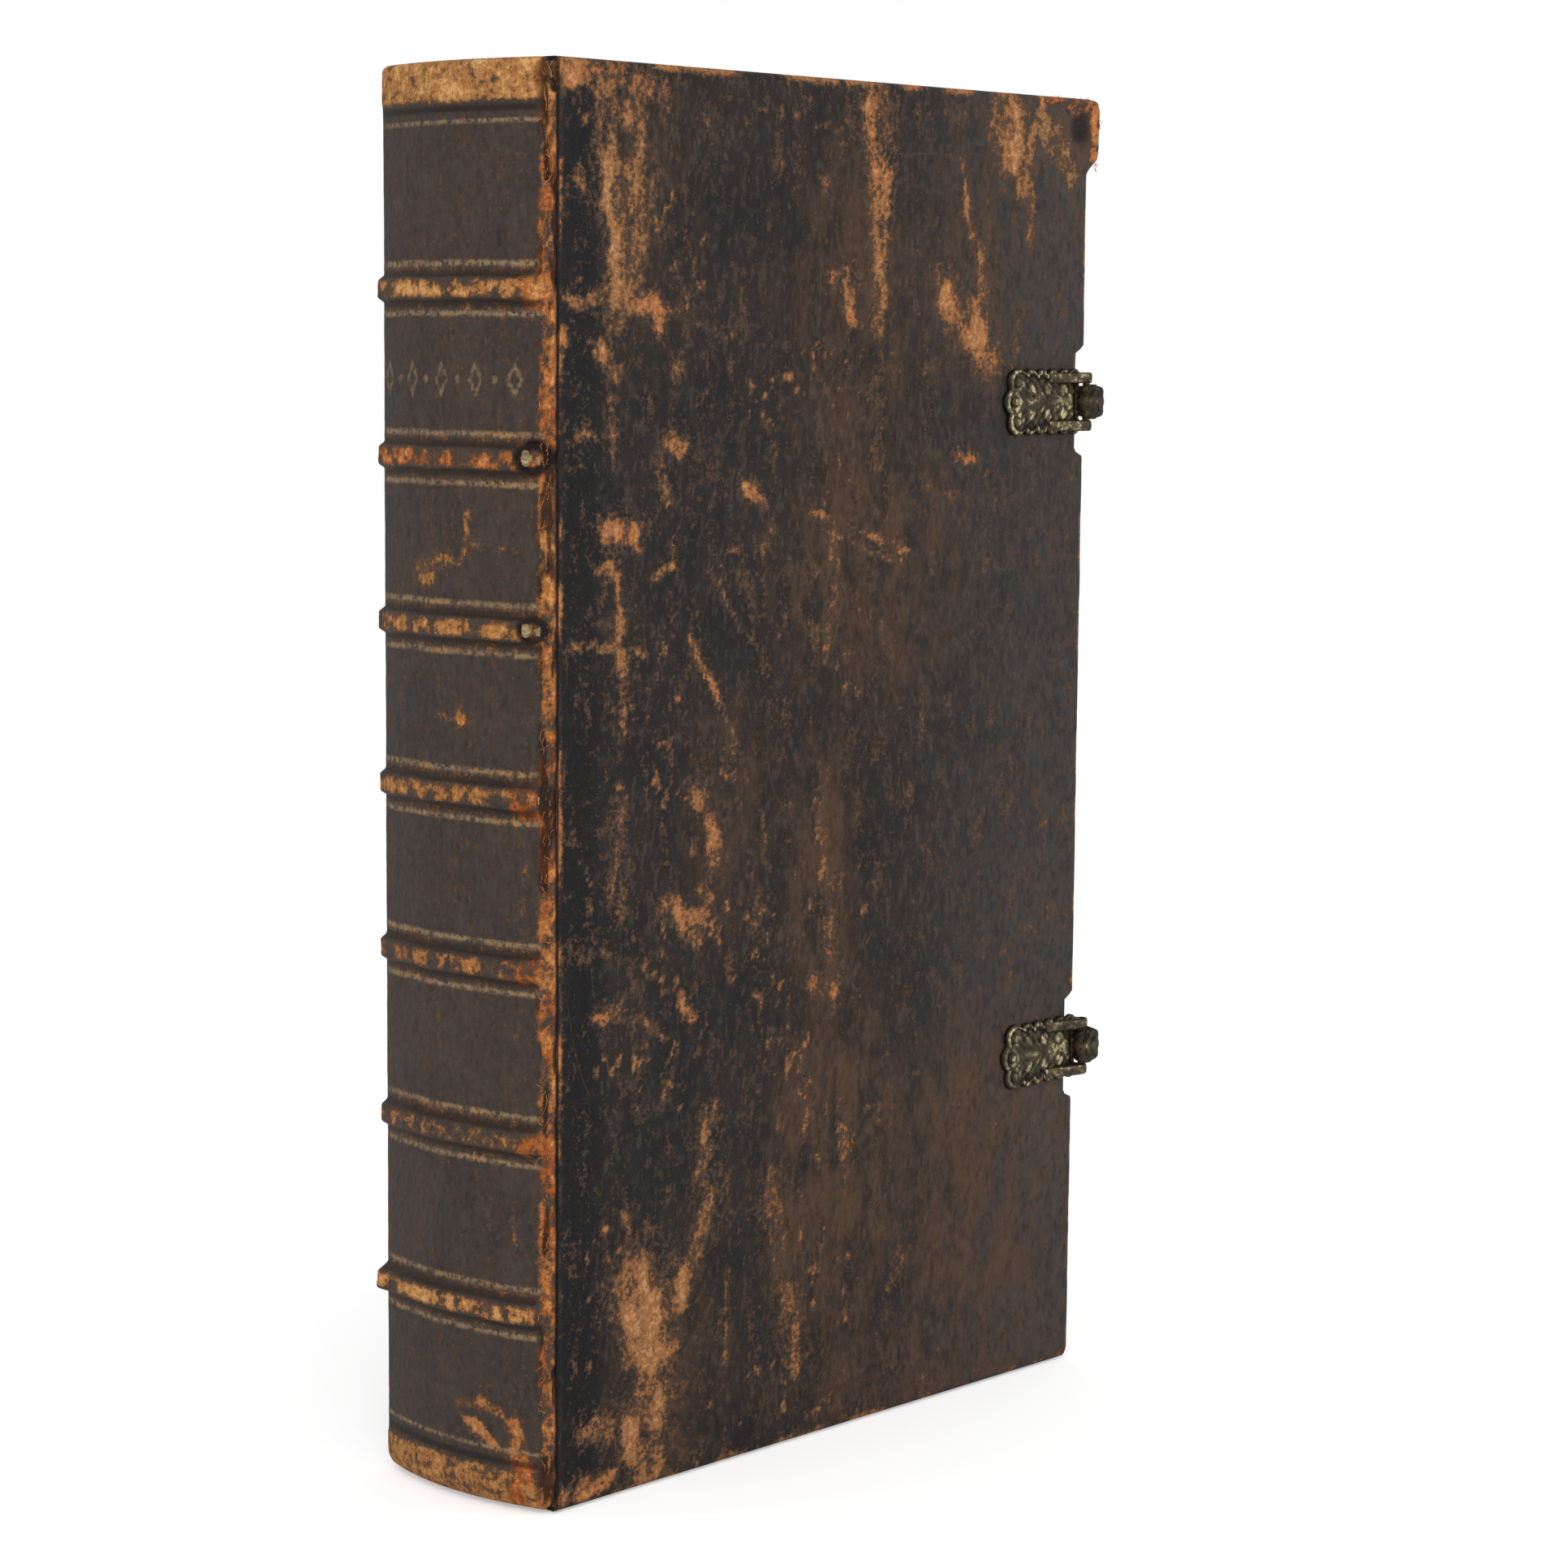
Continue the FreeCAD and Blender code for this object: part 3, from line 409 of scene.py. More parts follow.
# Page edges: thin layers that lie along the block, browned in patches
def pageEdges(name):
    material, tree, surface = newMaterial(name)
    layers = place(tree, (0.03, 1.0, 0.03))
    here = place(tree)
    sheets = mottle(tree, layers, 0.55, 6.0, 0.8)
    groups = mottle(tree, layers, 3.2, 2.0)
    stains = mottle(tree, here, 22.0, 4.0)
    colour = blendColours(tree, between(tree, sheets, 0.34, 0.66), tint(206, 186, 148), tint(142, 116, 80))
    colour = blendColours(tree, between(tree, groups, 0.40, 0.70, 0.0, 0.6), colour, tint(168, 140, 100))
    colour = blendColours(tree, between(tree, stains, 0.52, 0.74, 0.0, 0.6), colour, tint(122, 94, 62))
    tree.links.new(colour, surface.inputs["Base Color"])
    tree.links.new(between(tree, sheets, 0.3, 0.7, 0.78, 0.95), surface.inputs["Roughness"])
    roughen(tree, surface, sheets, 0.25)
    return material


# Antique brass: dark in the hollows, pale on the rubbed heights
def oldBrass(name):
    material, tree, surface = newMaterial(name)
    here = place(tree)
    height = painted(tree, "height")
    grime = mottle(tree, here, 1.4, 5.0, 0.65)
    broad = mottle(tree, here, 7.0, 3.0)
    level = plus(tree, height, times(tree, combine(tree, "SUBTRACT", grime, 0.5), 1.5))
    colour = blendColours(tree, between(tree, level, 0.10, 0.62), tint(24, 20, 15), tint(84, 74, 53))
    colour = blendColours(tree, between(tree, level, 0.74, 1.02), colour, tint(196, 184, 140))
    colour = blendColours(tree, between(tree, broad, 0.42, 0.62, 0.0, 0.75), colour, tint(52, 44, 31))
    tree.links.new(colour, surface.inputs["Base Color"])
    tree.links.new(between(tree, level, 0.1, 0.9, 0.62, 0.34), surface.inputs["Roughness"])
    surface.inputs["Metallic"].default_value = 0.7
    roughen(tree, surface, grime, 0.12)
    return material


# Endband threads: colours change from one winding to the next
def windings(name):
    material, tree, surface = newMaterial(name)
    here = place(tree)
    fuzz = mottle(tree, here, 0.5, 3.0)
    dirt = mottle(tree, here, 6.0, 4.0)
    colour = blendColours(tree, painted(tree, "turn"), tint(196, 178, 140), tint(120, 66, 44))
    colour = blendColours(tree, between(tree, fuzz, 0.4, 0.7, 0.0, 0.6), colour, tint(104, 84, 58))
    colour = blendColours(tree, between(tree, dirt, 0.5, 0.75, 0.0, 0.7), colour, tint(72, 54, 38))
    tree.links.new(colour, surface.inputs["Base Color"])
    tree.links.new(between(tree, fuzz, 0.3, 0.7, 0.8, 0.95), surface.inputs["Roughness"])
    roughen(tree, surface, fuzz, 0.12)
    return material


edgePaper = pageEdges("page edges")
endPaper = plainMaterial("foxed endpaper", tint(212, 197, 165), tint(192, 173, 138), tint(160, 128, 88),
                         16.0, gloss=0.88, depth=0.08)
boardWood = plainMaterial("oak board", tint(128, 92, 58), tint(82, 56, 34), tint(58, 40, 26), 5.0,
                          (1, 1, 0.07), 0.7, 0.2)
pegWood = plainMaterial("peg wood", tint(150, 114, 74), tint(98, 70, 42), tint(70, 50, 32), 3.0,
                        (1, 0.2, 1), 0.7, 0.1)
cordFibre = plainMaterial("hemp cord", tint(196, 172, 128), tint(134, 108, 72), tint(92, 70, 46), 1.4,
                          (1, 0.4, 1), 0.9, 0.25)
liningPaper = plainMaterial("glued lining", tint(172, 150, 112), tint(126, 102, 68), tint(92, 70, 44), 5.0,
                            gloss=0.85)
endThread = windings("endband thread")
brass = oldBrass("antique brass")
pinBrass = plainMaterial("pin brass", tint(126, 112, 76), tint(74, 64, 44), tint(44, 38, 28), 1.8,
                         (1, 1, 0.3), 0.42, 0.05, 0.75)
print("materials ready")


# Spine leather: rounded back, seven bands, head and tail rolls, blind lines
spineShape = {
    "low": 0.6, "high": 359.4,
    "jointEnd": -101.3, "corner": 3.0,
    "bandRise": 2.4, "bandHalf": 3.7, "bandFlat": 1.9,
    "rollHeight": 11.0, "rollRise": 0.9,
    "knots": [(263.8, 2.9), (222.0, 2.3)],       # level and half size of the two pale cord ends
    "knotX": -107.7, "knotY": -25.4,
    "lineOffset": 6.1, "lineHalf": 0.70,
    "stripWidth": 6.4, "backStrip": 3.0,
    # how worn and how rusty each band crown is, from the tail up
    "bandWear": [(0.80, 0.15), (0.50, 0.12), (0.66, 0.35), (0.66, 0.28), (0.74, 0.30), (0.86, 0.72),
                 (0.82, 0.15)],
    # row of lozenges and dots in the second panel: level, number, first y and spacing
    "titleRow": 282.5, "marks": 9, "marksFrom": 27.0, "markStep": 5.9,
    "gapeDrop": 5.0,
}
# strokes on the spine: points (y, z), half width, strength, rust
spineStrokes = [
    ([(-5.5, 249), (-7, 244), (-3, 240)], 1.2, 0.62, 0.2),
    ([(-3, 239), (5, 237), (13, 237), (12, 234), (5, 233)], 1.5, 0.80, 0.25),
    ([(-8, 243), (-21, 241)], 0.5, 0.70, 0.1),
    ([(-3.4, 197.7)], 1.9, 1.0, 0.5),
    ([(-1, 198.6), (6, 199)], 0.5, 0.75, 0.3),
    ([(-2, 25), (-9, 27), (-16, 24), (-21, 19), (-19, 13)], 1.4, 0.82, 0.45),
    ([(-3, 21), (-10, 19), (-15, 16)], 1.5, 0.80, 0.35),
    ([(-6, 30), (-12, 31)], 0.8, 0.6, 0.4),
    ([(-22, 14), (-24, 8), (-21, 2)], 3.2, 0.9, 0.9),
    ([(-24.5, 180), (-28, 180)], 4.2, 0.85, 1.0),
    ([(-24.5, 138), (-28, 138)], 4.2, 0.85, 1.0),
    ([(-25.5, 304), (-28, 305)], 4.0, 0.85, 0.8),
    ([(-25, 94), (-28, 95)], 3.2, 0.7, 0.8),
    ([(-22, 150), (-23, 165)], 0.8, 0.5, 0.3),
    ([(-21, 120), (-22, 128)], 0.8, 0.5, 0.3),
    ([(-19, 78), (-20, 70)], 0.9, 0.45, 0.2),
]


def spinePath(step):
    corner, edge, face = spineShape["corner"], spineShape["jointEnd"], book["frontFace"]
    centreY, arcX, radius = book["middleY"], book["arcX"], book["arcRadius"]
    half = centreY - face
    cornerX = arcX - math.sqrt((radius - corner) ** 2 - (half - corner) ** 2)
    meet = math.atan2(half - corner, arcX - cornerX)
    points = []
    flat = max(2, int((edge - cornerX) / step) + 1)
    for k in range(flat):
        points.append((edge + (cornerX - edge) * k / flat, -half, 0.0, -1.0))
    bend = 9
    for k in range(bend):
        a = math.pi / 2 + (meet - math.pi / 2) * k / bend
        points.append((cornerX - corner * math.cos(a), -(half - corner) - corner * math.sin(a),
                       -math.cos(a), -math.sin(a)))
    count = int(radius * meet / step)
    for k in range(count):
        a = meet * (1 - k / count)
        points.append((arcX - radius * math.cos(a), -radius * math.sin(a), -math.cos(a), -math.sin(a)))
    mirror = [(x, -y, nx, -ny) for x, y, nx, ny in points][::-1]
    full = np.array(points + [(arcX - radius, 0.0, -1.0, 0.0)] + mirror)
    full[:, 1] += centreY
    return full


def spineRows():
    rows, z = [], spineShape["low"]
    busy = list(book["bands"]) + [spineShape["titleRow"]]
    while z < spineShape["high"]:
        rows.append(z)
        near = min(abs(z - b) for b in busy)
        close = near < 8.0 or z < 18 or z > 342
        z += 0.40 if close else 0.85
    rows.append(spineShape["high"])
    return np.array(rows)


def buildSpine():
    path, rows = spinePath(0.62), spineRows()
    count, cols = len(rows), len(path)
    step = np.hypot(np.diff(path[:, 0]), np.diff(path[:, 1]))
    along = np.concatenate([[0], np.cumsum(step)])
    s = np.broadcast_to(along, (count, cols))
    z = np.broadcast_to(rows[:, None], (count, cols))
    y = np.broadcast_to(path[:, 1], (count, cols))
    fromMiddle = np.abs(y - book["middleY"])
    total = along[-1]
    fromJoint = np.minimum(s, total - s)
    onArc = 1.0 - smooth(fromMiddle, 27.4, 29.8)
    rise = np.zeros_like(z)
    wear = 0.10 + 0.10 * layered(s, z, 9.0, 11)
    rust = np.zeros_like(z) + 0.15
    tooled = np.zeros_like(z)
    crack_and_shade = np.zeros_like(z)
    wave = (field(s, z * 0 + 3.0, 9.0, 21) - 0.5) * 1.1
    for index, level in enumerate(book["bands"]):
        off = np.abs(z - level - wave * 0.5)
        hill = 1.0 - smooth(off, spineShape["bandFlat"], spineShape["bandHalf"] + 0.3)
        nibble = (layered(s, z + 40 * index, 2.2, 31 + index) - 0.5) * 0.5
        rise += (spineShape["bandRise"] + nibble) * hill * onArc
        strength, ruddy = spineShape["bandWear"][index]
        crown = 1.0 - smooth(off, 1.0, 3.6)
        patch = 0.42 + 0.85 * smooth(layered(s, z * 0.8, 3.0, 51 + index), 0.28, 0.68)
        value = strength * crown * patch * onArc
        rust = np.where(value > wear, ruddy, rust)
        wear = np.maximum(wear, value)
        # painted shade in the groove at the foot of each raised band
        groove = smooth(off, 2.4, 3.1) * (1.0 - smooth(off, 3.9, 4.9))
        crack_and_shade = np.maximum(crack_and_shade, 0.62 * groove * onArc)
        for direction in (-1, 1):
            line = np.abs(z - level - direction * spineShape["lineOffset"] - wave * 0.4)
            mark = (1.0 - smooth(line, 0.15, spineShape["lineHalf"] * 1.5)) * onArc
            tooled = np.maximum(tooled, mark * (0.62 + 0.60 * layered(s, z * 0 + level, 6.0, 71 + index)))
            rise -= 0.16 * mark
            chafe = smooth(layered(s, z * 0 + level, 7.0, 81 + index), 0.45, 0.75)
            wear = np.maximum(wear, 0.66 * ((1.0 - smooth(line, 0.4, 1.5)) * onArc * chafe))
        brown = smooth(off, 2.6, 3.6) * (1.0 - smooth(off, 6.4, 7.6)) * onArc
        wear = np.maximum(wear, (0.26 + 0.22 * layered(s, z, 4.0, 86 + index)) * brown)
        if index == 0:
            rise += 1.5 * hill * smooth(total - s, 1.0, 3.0) * (1.0 - smooth(total - s, 6.0, 9.0))
    # rolls at head and tail, worn golden, with a painted shade line at their foot and a pale line beside them
    for ends, inward in ((spineShape["high"], -1), (spineShape["low"], 1)):
        off = (z - ends) * inward
        roll = 1.0 - smooth(off, spineShape["rollHeight"] - 2.0, spineShape["rollHeight"])
        rise += spineShape["rollRise"] * roll * onArc
        soft, deepest = (2.2, 1.1) if inward < 0 else (5.5, 3.6)
        rise -= deepest * (1.0 - np.sqrt(1.0 - (1.0 - np.clip(off / soft, 0, 1)) ** 2))
        patch = 0.46 + 0.80 * layered(s, z, 4.0, 91, 0.6)
        wear = np.maximum(wear, (1.0 if inward < 0 else 0.86) * roll * patch)
        # painted shade line at the foot of the roll
        line = np.abs(off - spineShape["rollHeight"] - 0.6)
        crack_and_shade = np.maximum(crack_and_shade, 0.75 * (1.0 - smooth(line, 0.3, 1.3)) * onArc)
        line = np.abs(off - spineShape["rollHeight"] - 3.6)
        tooled = np.maximum(tooled, 0.75 * (1.0 - smooth(line, 0.2, 0.8)) * onArc)
    strokeWear, strokeRust = rubbing(y.ravel(), z.ravel(), spineStrokes, 101)
    strokeWear, strokeRust = strokeWear.reshape(y.shape), strokeRust.reshape(y.shape)
    rust = np.where(strokeWear > wear, strokeRust, rust)
    wear = np.maximum(wear, strokeWear)
    # rough, rusty strip beside both joints
    width = np.where(s < total / 2, spineShape["stripWidth"], spineShape["backStrip"])
    width = width * (0.70 + 0.6 * layered(z * 0 + 5.0, z, 10.0, 111))
    strip = 1.0 - smooth(fromJoint, width * 0.62, width)
    rough = layered(s * 1.6, z, 3.4, 121)
    value = strip * (0.34 + 0.70 * smooth(rough, 0.15, 0.8))
    rust = np.where(strip > 0.25, 0.25 + 0.85 * layered(s, z, 16.0, 131), rust)
    wear = np.maximum(wear, value)
    splits = smooth(layered(s * 2.4, z, 5.5, 141, 2.2), 0.52, 0.66) * strip
    crack_and_shade = np.maximum(crack_and_shade * (1 - strip), 0.9 * splits)
    # painted shade line in the joint crease, where spine and cover meet
    crack_and_shade = np.maximum(crack_and_shade, 1.0 - smooth(fromJoint, 0.15, 0.9))
    rise += strip * (rough - 0.55) * 0.9 - 0.35 * splits
    # plain tooled lozenges and dots in the second panel
    for index in range(spineShape["marks"]):
        spot = spineShape["marksFrom"] - spineShape["markStep"] * index
        du, dv = np.abs(y - spot), np.abs(z - spineShape["titleRow"])
        if index % 2 == 0:
            shape = du / 2.3 + dv / 4.4
            mark = smooth(shape, 0.52, 0.72) * (1.0 - smooth(shape, 0.92, 1.15))
        else:
            mark = 1.0 - smooth(np.hypot(du, dv), 0.7, 1.3)
        tooled = np.maximum(tooled, 0.62 * mark)
        rise -= 0.08 * mark
    # the leather has worn through over two cord ends
    for level, half in spineShape["knots"]:
        far = np.hypot(y - spineShape["knotY"], z - level)
        rise -= 0.9 * (1.0 - smooth(far, half * 1.0, half * 1.5))
        # painted shade ring round the rim of each sunken cord end
        shade = smooth(far, half * 0.5, half * 0.9) * (1.0 - smooth(far, half * 1.3, half * 1.9))
        crack_and_shade = np.maximum(crack_and_shade, shade)
    # the leather gapes at the head beside the front joint, its torn tip is pale, and the gap gets painted
    # shade
    wear = np.maximum(wear, 1.2 * (1.0 - smooth(s, 3.0, 7.5)) * smooth(z, 352.5, 357.0))
    gape = (1.0 - smooth(s, 1.2, 3.4)) * smooth(z, 350.0, 357.5)
    drop = spineShape["gapeDrop"] * gape
    crack_and_shade = np.maximum(crack_and_shade, smooth(gape, 0.15, 0.6))
    warm = 0.35 * layered(s, z, 24.0, 151) * (1 - strip)
    rise += 0.30 * (layered(s, z, 30.0, 161) - 0.5) + 0.10 * (layered(s, z, 1.5, 171) - 0.5)
    rise -= 0.20 * np.clip(wear - 0.4, 0, 1)
    normal = path[:, 2:4]
    points = np.stack([path[:, 0] + normal[:, 0] * rise, path[:, 1] + normal[:, 1] * rise, z - drop], -1)
    # nothing on the spine stands outside the planes of the two covers, so they open flat
    points[..., 1] = np.clip(points[..., 1], book["frontFace"] + 0.03, book["backFace"] - 0.03)
    flat = points.reshape(-1, 3)
    loop = borderLoop(count, cols)
    col = loop % cols
    inward = np.stack([-normal[col, 0], -normal[col, 1], np.zeros(len(loop))], -1)
    middle = flat[loop]
    top, bottom = loop // cols == count - 1, loop // cols == 0
    sink = np.where(top, -3.4, np.where(bottom, 3.4, 0.0))
    lip = np.where(top, 0.25, np.where(bottom, -0.25, 0.0))
    rings = []
    for depth, lift, sunk in ((0.35, 1.0, 0.0), (0.9, 1.0, 0.0), (1.3, 0.0, 0.1), (1.3, 0.0, 1.0)):
        ring = middle + inward * depth
        ring[:, 2] += lip * lift + sink * sunk
        rings.append(ring)
    everything, faces = addRings(flat, gridFaces(count, cols), loop, rings)
    extra = len(everything) - len(flat)

    def spread(grid, last):
        return np.concatenate([grid.ravel(), np.full(extra, last)])
    values = {"wear": spread(wear, 0.75), "rust": spread(rust, 0.4), "tooled": spread(tooled, 0),
              "crack_and_shade": spread(crack_and_shade, 0.15), "warm": spread(warm, 0.2),
              "joint_shade": spread(np.zeros_like(wear), 0)}
    piece = makePiece("spine_skin", everything, faces, "leaves_and_spine",
                      spineLeather, values, flip=True)
    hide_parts("spine_leather")


buildSpine()
print("spine leather built")


# Cover leather: face, turned edges and turn-ins, one skin for each board
coverShape = {
    "edgeRound": 1.6, "cornerRound": 3.5,
    "notchDeep": 3.5, "notchHalf": 13.5, "notchSlope": 2.0,
    "turnX": 84.65, "turnLow": 19.2, "turnHigh": 340.8,
    "flapReach": 4.5, "flapFrom": 339.5,         # torn corner: how far it sticks out, and from where up
    "hollowX": 100.5, "hollowZ": 351.5,
    "meshStep": 1.15,
}
# strokes on the front cover: points (x, z), half width, strength, rust
frontStrokes = [
    ([(-97, 357), (-86, 356), (-72, 355)], 4.2, 0.86, 0.45),
    ([(-66, 357), (-64, 353)], 3.0, 0.62, 0.4),
    ([(-86, 353), (-84, 338), (-81, 322), (-79, 308), (-81, 298)], 4.4, 0.95, 0.18),
    ([(-77, 352), (-74, 338), (-76, 326)], 3.2, 0.85, 0.2),
    ([(-71, 330), (-73, 318), (-75, 308)], 3.0, 0.68, 0.1),
    ([(-95, 331), (-92, 328)], 1.8, 0.6, 0.3),
    ([(-98, 302), (-86, 301.5), (-74, 300.5)], 2.0, 0.80, 0.15),
    ([(-74, 301), (-61, 299.5)], 2.6, 0.88, 0.55),
    ([(-66, 297)], 2.4, 1.0, 0.6),
    ([(-89, 291), (-84, 289), (-81, 285)], 2.4, 0.90, 0.5),
    ([(-79.5, 285.5)], 1.5, 1.0, 0.4),
    ([(-100, 292)], 2.4, 1.0, 0.8),
    ([(-94, 270), (-82, 269)], 1.5, 0.66, 0.3),
    ([(-84, 279), (-83, 262)], 1.8, 0.5, 0.2),
    ([(-64, 267), (-58, 265)], 2.2, 0.70, 0.45),
    ([(-66, 262), (-65, 255)], 2.2, 0.6, 0.1),
    ([(-84.5, 246.5), (-75, 245)], 3.1, 1.05, 0.5),
    ([(-88, 236), (-84, 237.5), (-81, 233), (-79.8, 224), (-79.6, 210), (-79.4, 196)], 1.3, 0.82, 0.35),
    ([(-70, 234), (-60, 237)], 1.3, 0.82, 0.45),
    ([(-100, 217), (-88, 216.5), (-72, 215.7)], 1.2, 0.66, 0.2),
    ([(-79, 216), (-78, 205), (-80, 198)], 2.0, 0.60, 0.3),
    ([(-55, 218), (-49, 208), (-43, 199.5)], 0.9, 0.95, 0.45),
    ([(-49, 235), (-35, 218), (-22, 203), (-18, 198)], 0.6, 0.66, 0.1),
    ([(-43, 199), (-36, 185), (-28, 172), (-26, 158)], 0.6, 0.62, 0.0),
    ([(-52, 177), (-46, 169), (-44, 159), (-50, 153)], 3.0, 0.80, 0.35),
    ([(-64, 151), (-56, 148), (-50, 145), (-47, 150)], 2.3, 0.90, 0.4),
    ([(-58, 146), (-52, 140)], 1.9, 0.75, 0.4),
    ([(-80, 178), (-79, 165), (-80, 150)], 2.4, 0.55, 0.3),
    ([(-34, 255), (-30, 251)], 2.1, 0.95, 0.5),
    ([(-10, 248), (8, 243), (29, 236)], 0.9, 0.80, 0.35),
    ([(-6, 244), (12, 237), (27, 234)], 0.8, 0.60, 0.3),
    ([(-2, 246), (-1, 228), (-4, 208)], 1.7, 0.52, 0.3),
    ([(48, 262.5), (55, 261.5)], 1.5, 0.90, 0.6),
    ([(36, 254), (47, 251)], 0.9, 0.60, 0.4),
    ([(15, 358), (14, 348), (16, 336)], 4.4, 1.0, 0.45),
    ([(17, 336), (17, 316), (16, 296)], 3.6, 0.82, 0.3),
    ([(16, 290), (15, 275), (17, 262)], 2.6, 0.52, 0.35),
    ([(3, 310), (4, 303), (5, 298)], 2.4, 0.74, 0.5),
    ([(50, 342), (50, 330), (54, 319), (57, 312)], 1.5, 0.80, 0.4),
    ([(56, 316), (58, 306), (57, 298)], 2.0, 0.78, 0.4),
    ([(46, 303), (52, 301), (55, 295), (60, 289)], 5.6, 0.92, 0.40),
    ([(78.5, 336), (78, 318)], 1.7, 0.62, 0.5),
    ([(75, 303), (74, 290)], 1.5, 0.58, 0.55),
    ([(66, 357), (70, 350), (72, 343)], 6.4, 1.0, 0.30),
    ([(83, 357), (78, 345), (74, 332)], 2.4, 0.90, 0.2),
    ([(84, 359), (95, 359), (107, 358.5)], 2.4, 1.0, 0.9),
    ([(107, 358), (107.5, 348), (106, 341)], 2.2, 1.0, 0.9),
    ([(84, 352), (92, 345), (97, 338)], 4.4, 0.78, 0.0),
    ([(-97, 139), (-88, 142), (-78, 138), (-75, 130), (-80, 126)], 1.1, 0.68, 0.1),
    ([(-88, 124), (-84, 125)], 2.2, 1.0, 0.55),
    ([(-83, 123), (-72, 122), (-64, 116)], 1.0, 0.78, 0.25),
    ([(-56, 125), (-53, 120)], 2.2, 0.76, 0.5),
    ([(-47, 96), (-49, 86), (-47, 74), (-51, 62)], 3.0, 0.84, 0.25),
    ([(-85, 69)], 1.7, 1.0, 0.5),
    ([(-69, 67)], 1.5, 0.9, 0.4),
    ([(-78, 73), (-76, 60), (-77, 50)], 1.9, 0.70, 0.3),
    ([(-51, 62), (-58, 48), (-63, 36)], 3.4, 0.85, 0.3),
    ([(-74, 54), (-70, 42), (-66, 32), (-70, 20), (-70, 6)], 7.6, 1.0, 0.28),
    ([(-64, 44), (-60, 34)], 3.6, 0.82, 0.35),
    ([(-91, 19), (-82, 18)], 3.0, 0.92, 0.35),
    ([(-101, 2), (-90, 3), (-83, 6)], 2.6, 0.92, 0.5),
    ([(-7, 122), (-1, 119)], 2.6, 0.82, 0.5),
    ([(-6, 180), (-3, 150), (1, 122)], 2.9, 0.55, 0.3),
    ([(4, 82), (6, 70)], 2.2, 0.62, 0.5),
    ([(-9.5, 97)], 1.1, 1.0, 0.4),
    ([(-23, 72), (-22, 56), (-16, 40), (-14, 22)], 4.0, 0.60, 0.35),
    ([(-40, 52), (-41, 20)], 0.7, 0.55, 0.3),
    ([(71, 123.5)], 1.1, 0.95, 0.0),
    ([(79, 122)], 1.2, 0.9, 0.0),
    ([(75, 117)], 0.8, 0.8, 0.1),
]
# warm brown areas: x, z, half width, half height, strength
frontWarmth = [
    (4, 300, 34, 60, 0.55), (14, 232, 44, 44, 0.72), (-4, 150, 16, 56, 0.70), (2, 72, 34, 60, 0.85),
    (62, 58, 44, 60, 0.80), (40, 10, 70, 26, 0.55), (-58, 26, 30, 40, 0.45), (52, 312, 26, 44, 0.40),
    (-40, 170, 22, 40, 0.40), (-70, 320, 24, 40, 0.35),
]
backStrokes = [
    ([(-90, 352), (-70, 356), (-52, 355)], 3.4, 0.78, 0.4),
    ([(-84, 330), (-80, 300), (-82, 270)], 3.4, 0.68, 0.25),
    ([(-40, 300), (-22, 285), (-10, 262)], 0.7, 0.70, 0.2),
    ([(10, 340), (14, 318), (12, 300)], 2.8, 0.66, 0.35),
    ([(-60, 236), (-52, 228)], 3.0, 0.86, 0.5),
    ([(-20, 214), (4, 206), (30, 204)], 0.8, 0.66, 0.3),
    ([(42, 250), (48, 236), (44, 222)], 2.2, 0.62, 0.4),
    ([(70, 338), (74, 322)], 3.6, 0.74, 0.4),
    ([(96, 357), (90, 352)], 3.4, 0.90, 0.6),
    ([(-72, 180), (-66, 160), (-70, 140)], 2.6, 0.66, 0.3),
    ([(-24, 150), (-14, 138), (-10, 120)], 1.8, 0.70, 0.35),
    ([(20, 128), (34, 120)], 2.0, 0.76, 0.5),
    ([(-78, 92), (-72, 66), (-76, 44)], 4.6, 0.72, 0.3),
    ([(-30, 70), (-20, 48), (-24, 24)], 3.0, 0.62, 0.3),
    ([(52, 60), (60, 40)], 2.4, 0.60, 0.4),
    ([(94, 6), (100, 3)], 3.0, 0.92, 0.6),
    ([(-98, 4), (-88, 4)], 2.8, 0.90, 0.5),
    ([(64, 170), (66, 150)], 1.2, 0.60, 0.3),
]
backWarmth = [
    (-20, 280, 50, 60, 0.55), (40, 200, 46, 60, 0.60), (-50, 120, 30, 60, 0.55),
    (30, 60, 60, 50, 0.70), (70, 320, 30, 40, 0.45),
]


def spreadOut(low, high, step, tight, edge):
    inner = np.arange(low + edge, high - edge, step)
    start = np.linspace(low, low + edge, int(edge / tight) + 1)[:-1]
    finish = np.linspace(high - edge, high, int(edge / tight) + 1)
    return np.concatenate([start, inner, finish[0 if finish[0] - inner[-1] > step * 0.4 else 1:]])


def foreEdge(z):
    high, corner = book["height"], coverShape["cornerRound"]
    x = np.full_like(z, book["coverEndX"])
    for level in book["claspsZ"]:
        off = np.abs(z - level)
        x -= coverShape["notchDeep"] * (1 - smooth(off, coverShape["notchHalf"],
                                                   coverShape["notchHalf"] + coverShape["notchSlope"]))
    off = np.clip(corner - np.minimum(z, high - z), 0, corner)
    return x - (corner - np.sqrt(corner ** 2 - off ** 2))


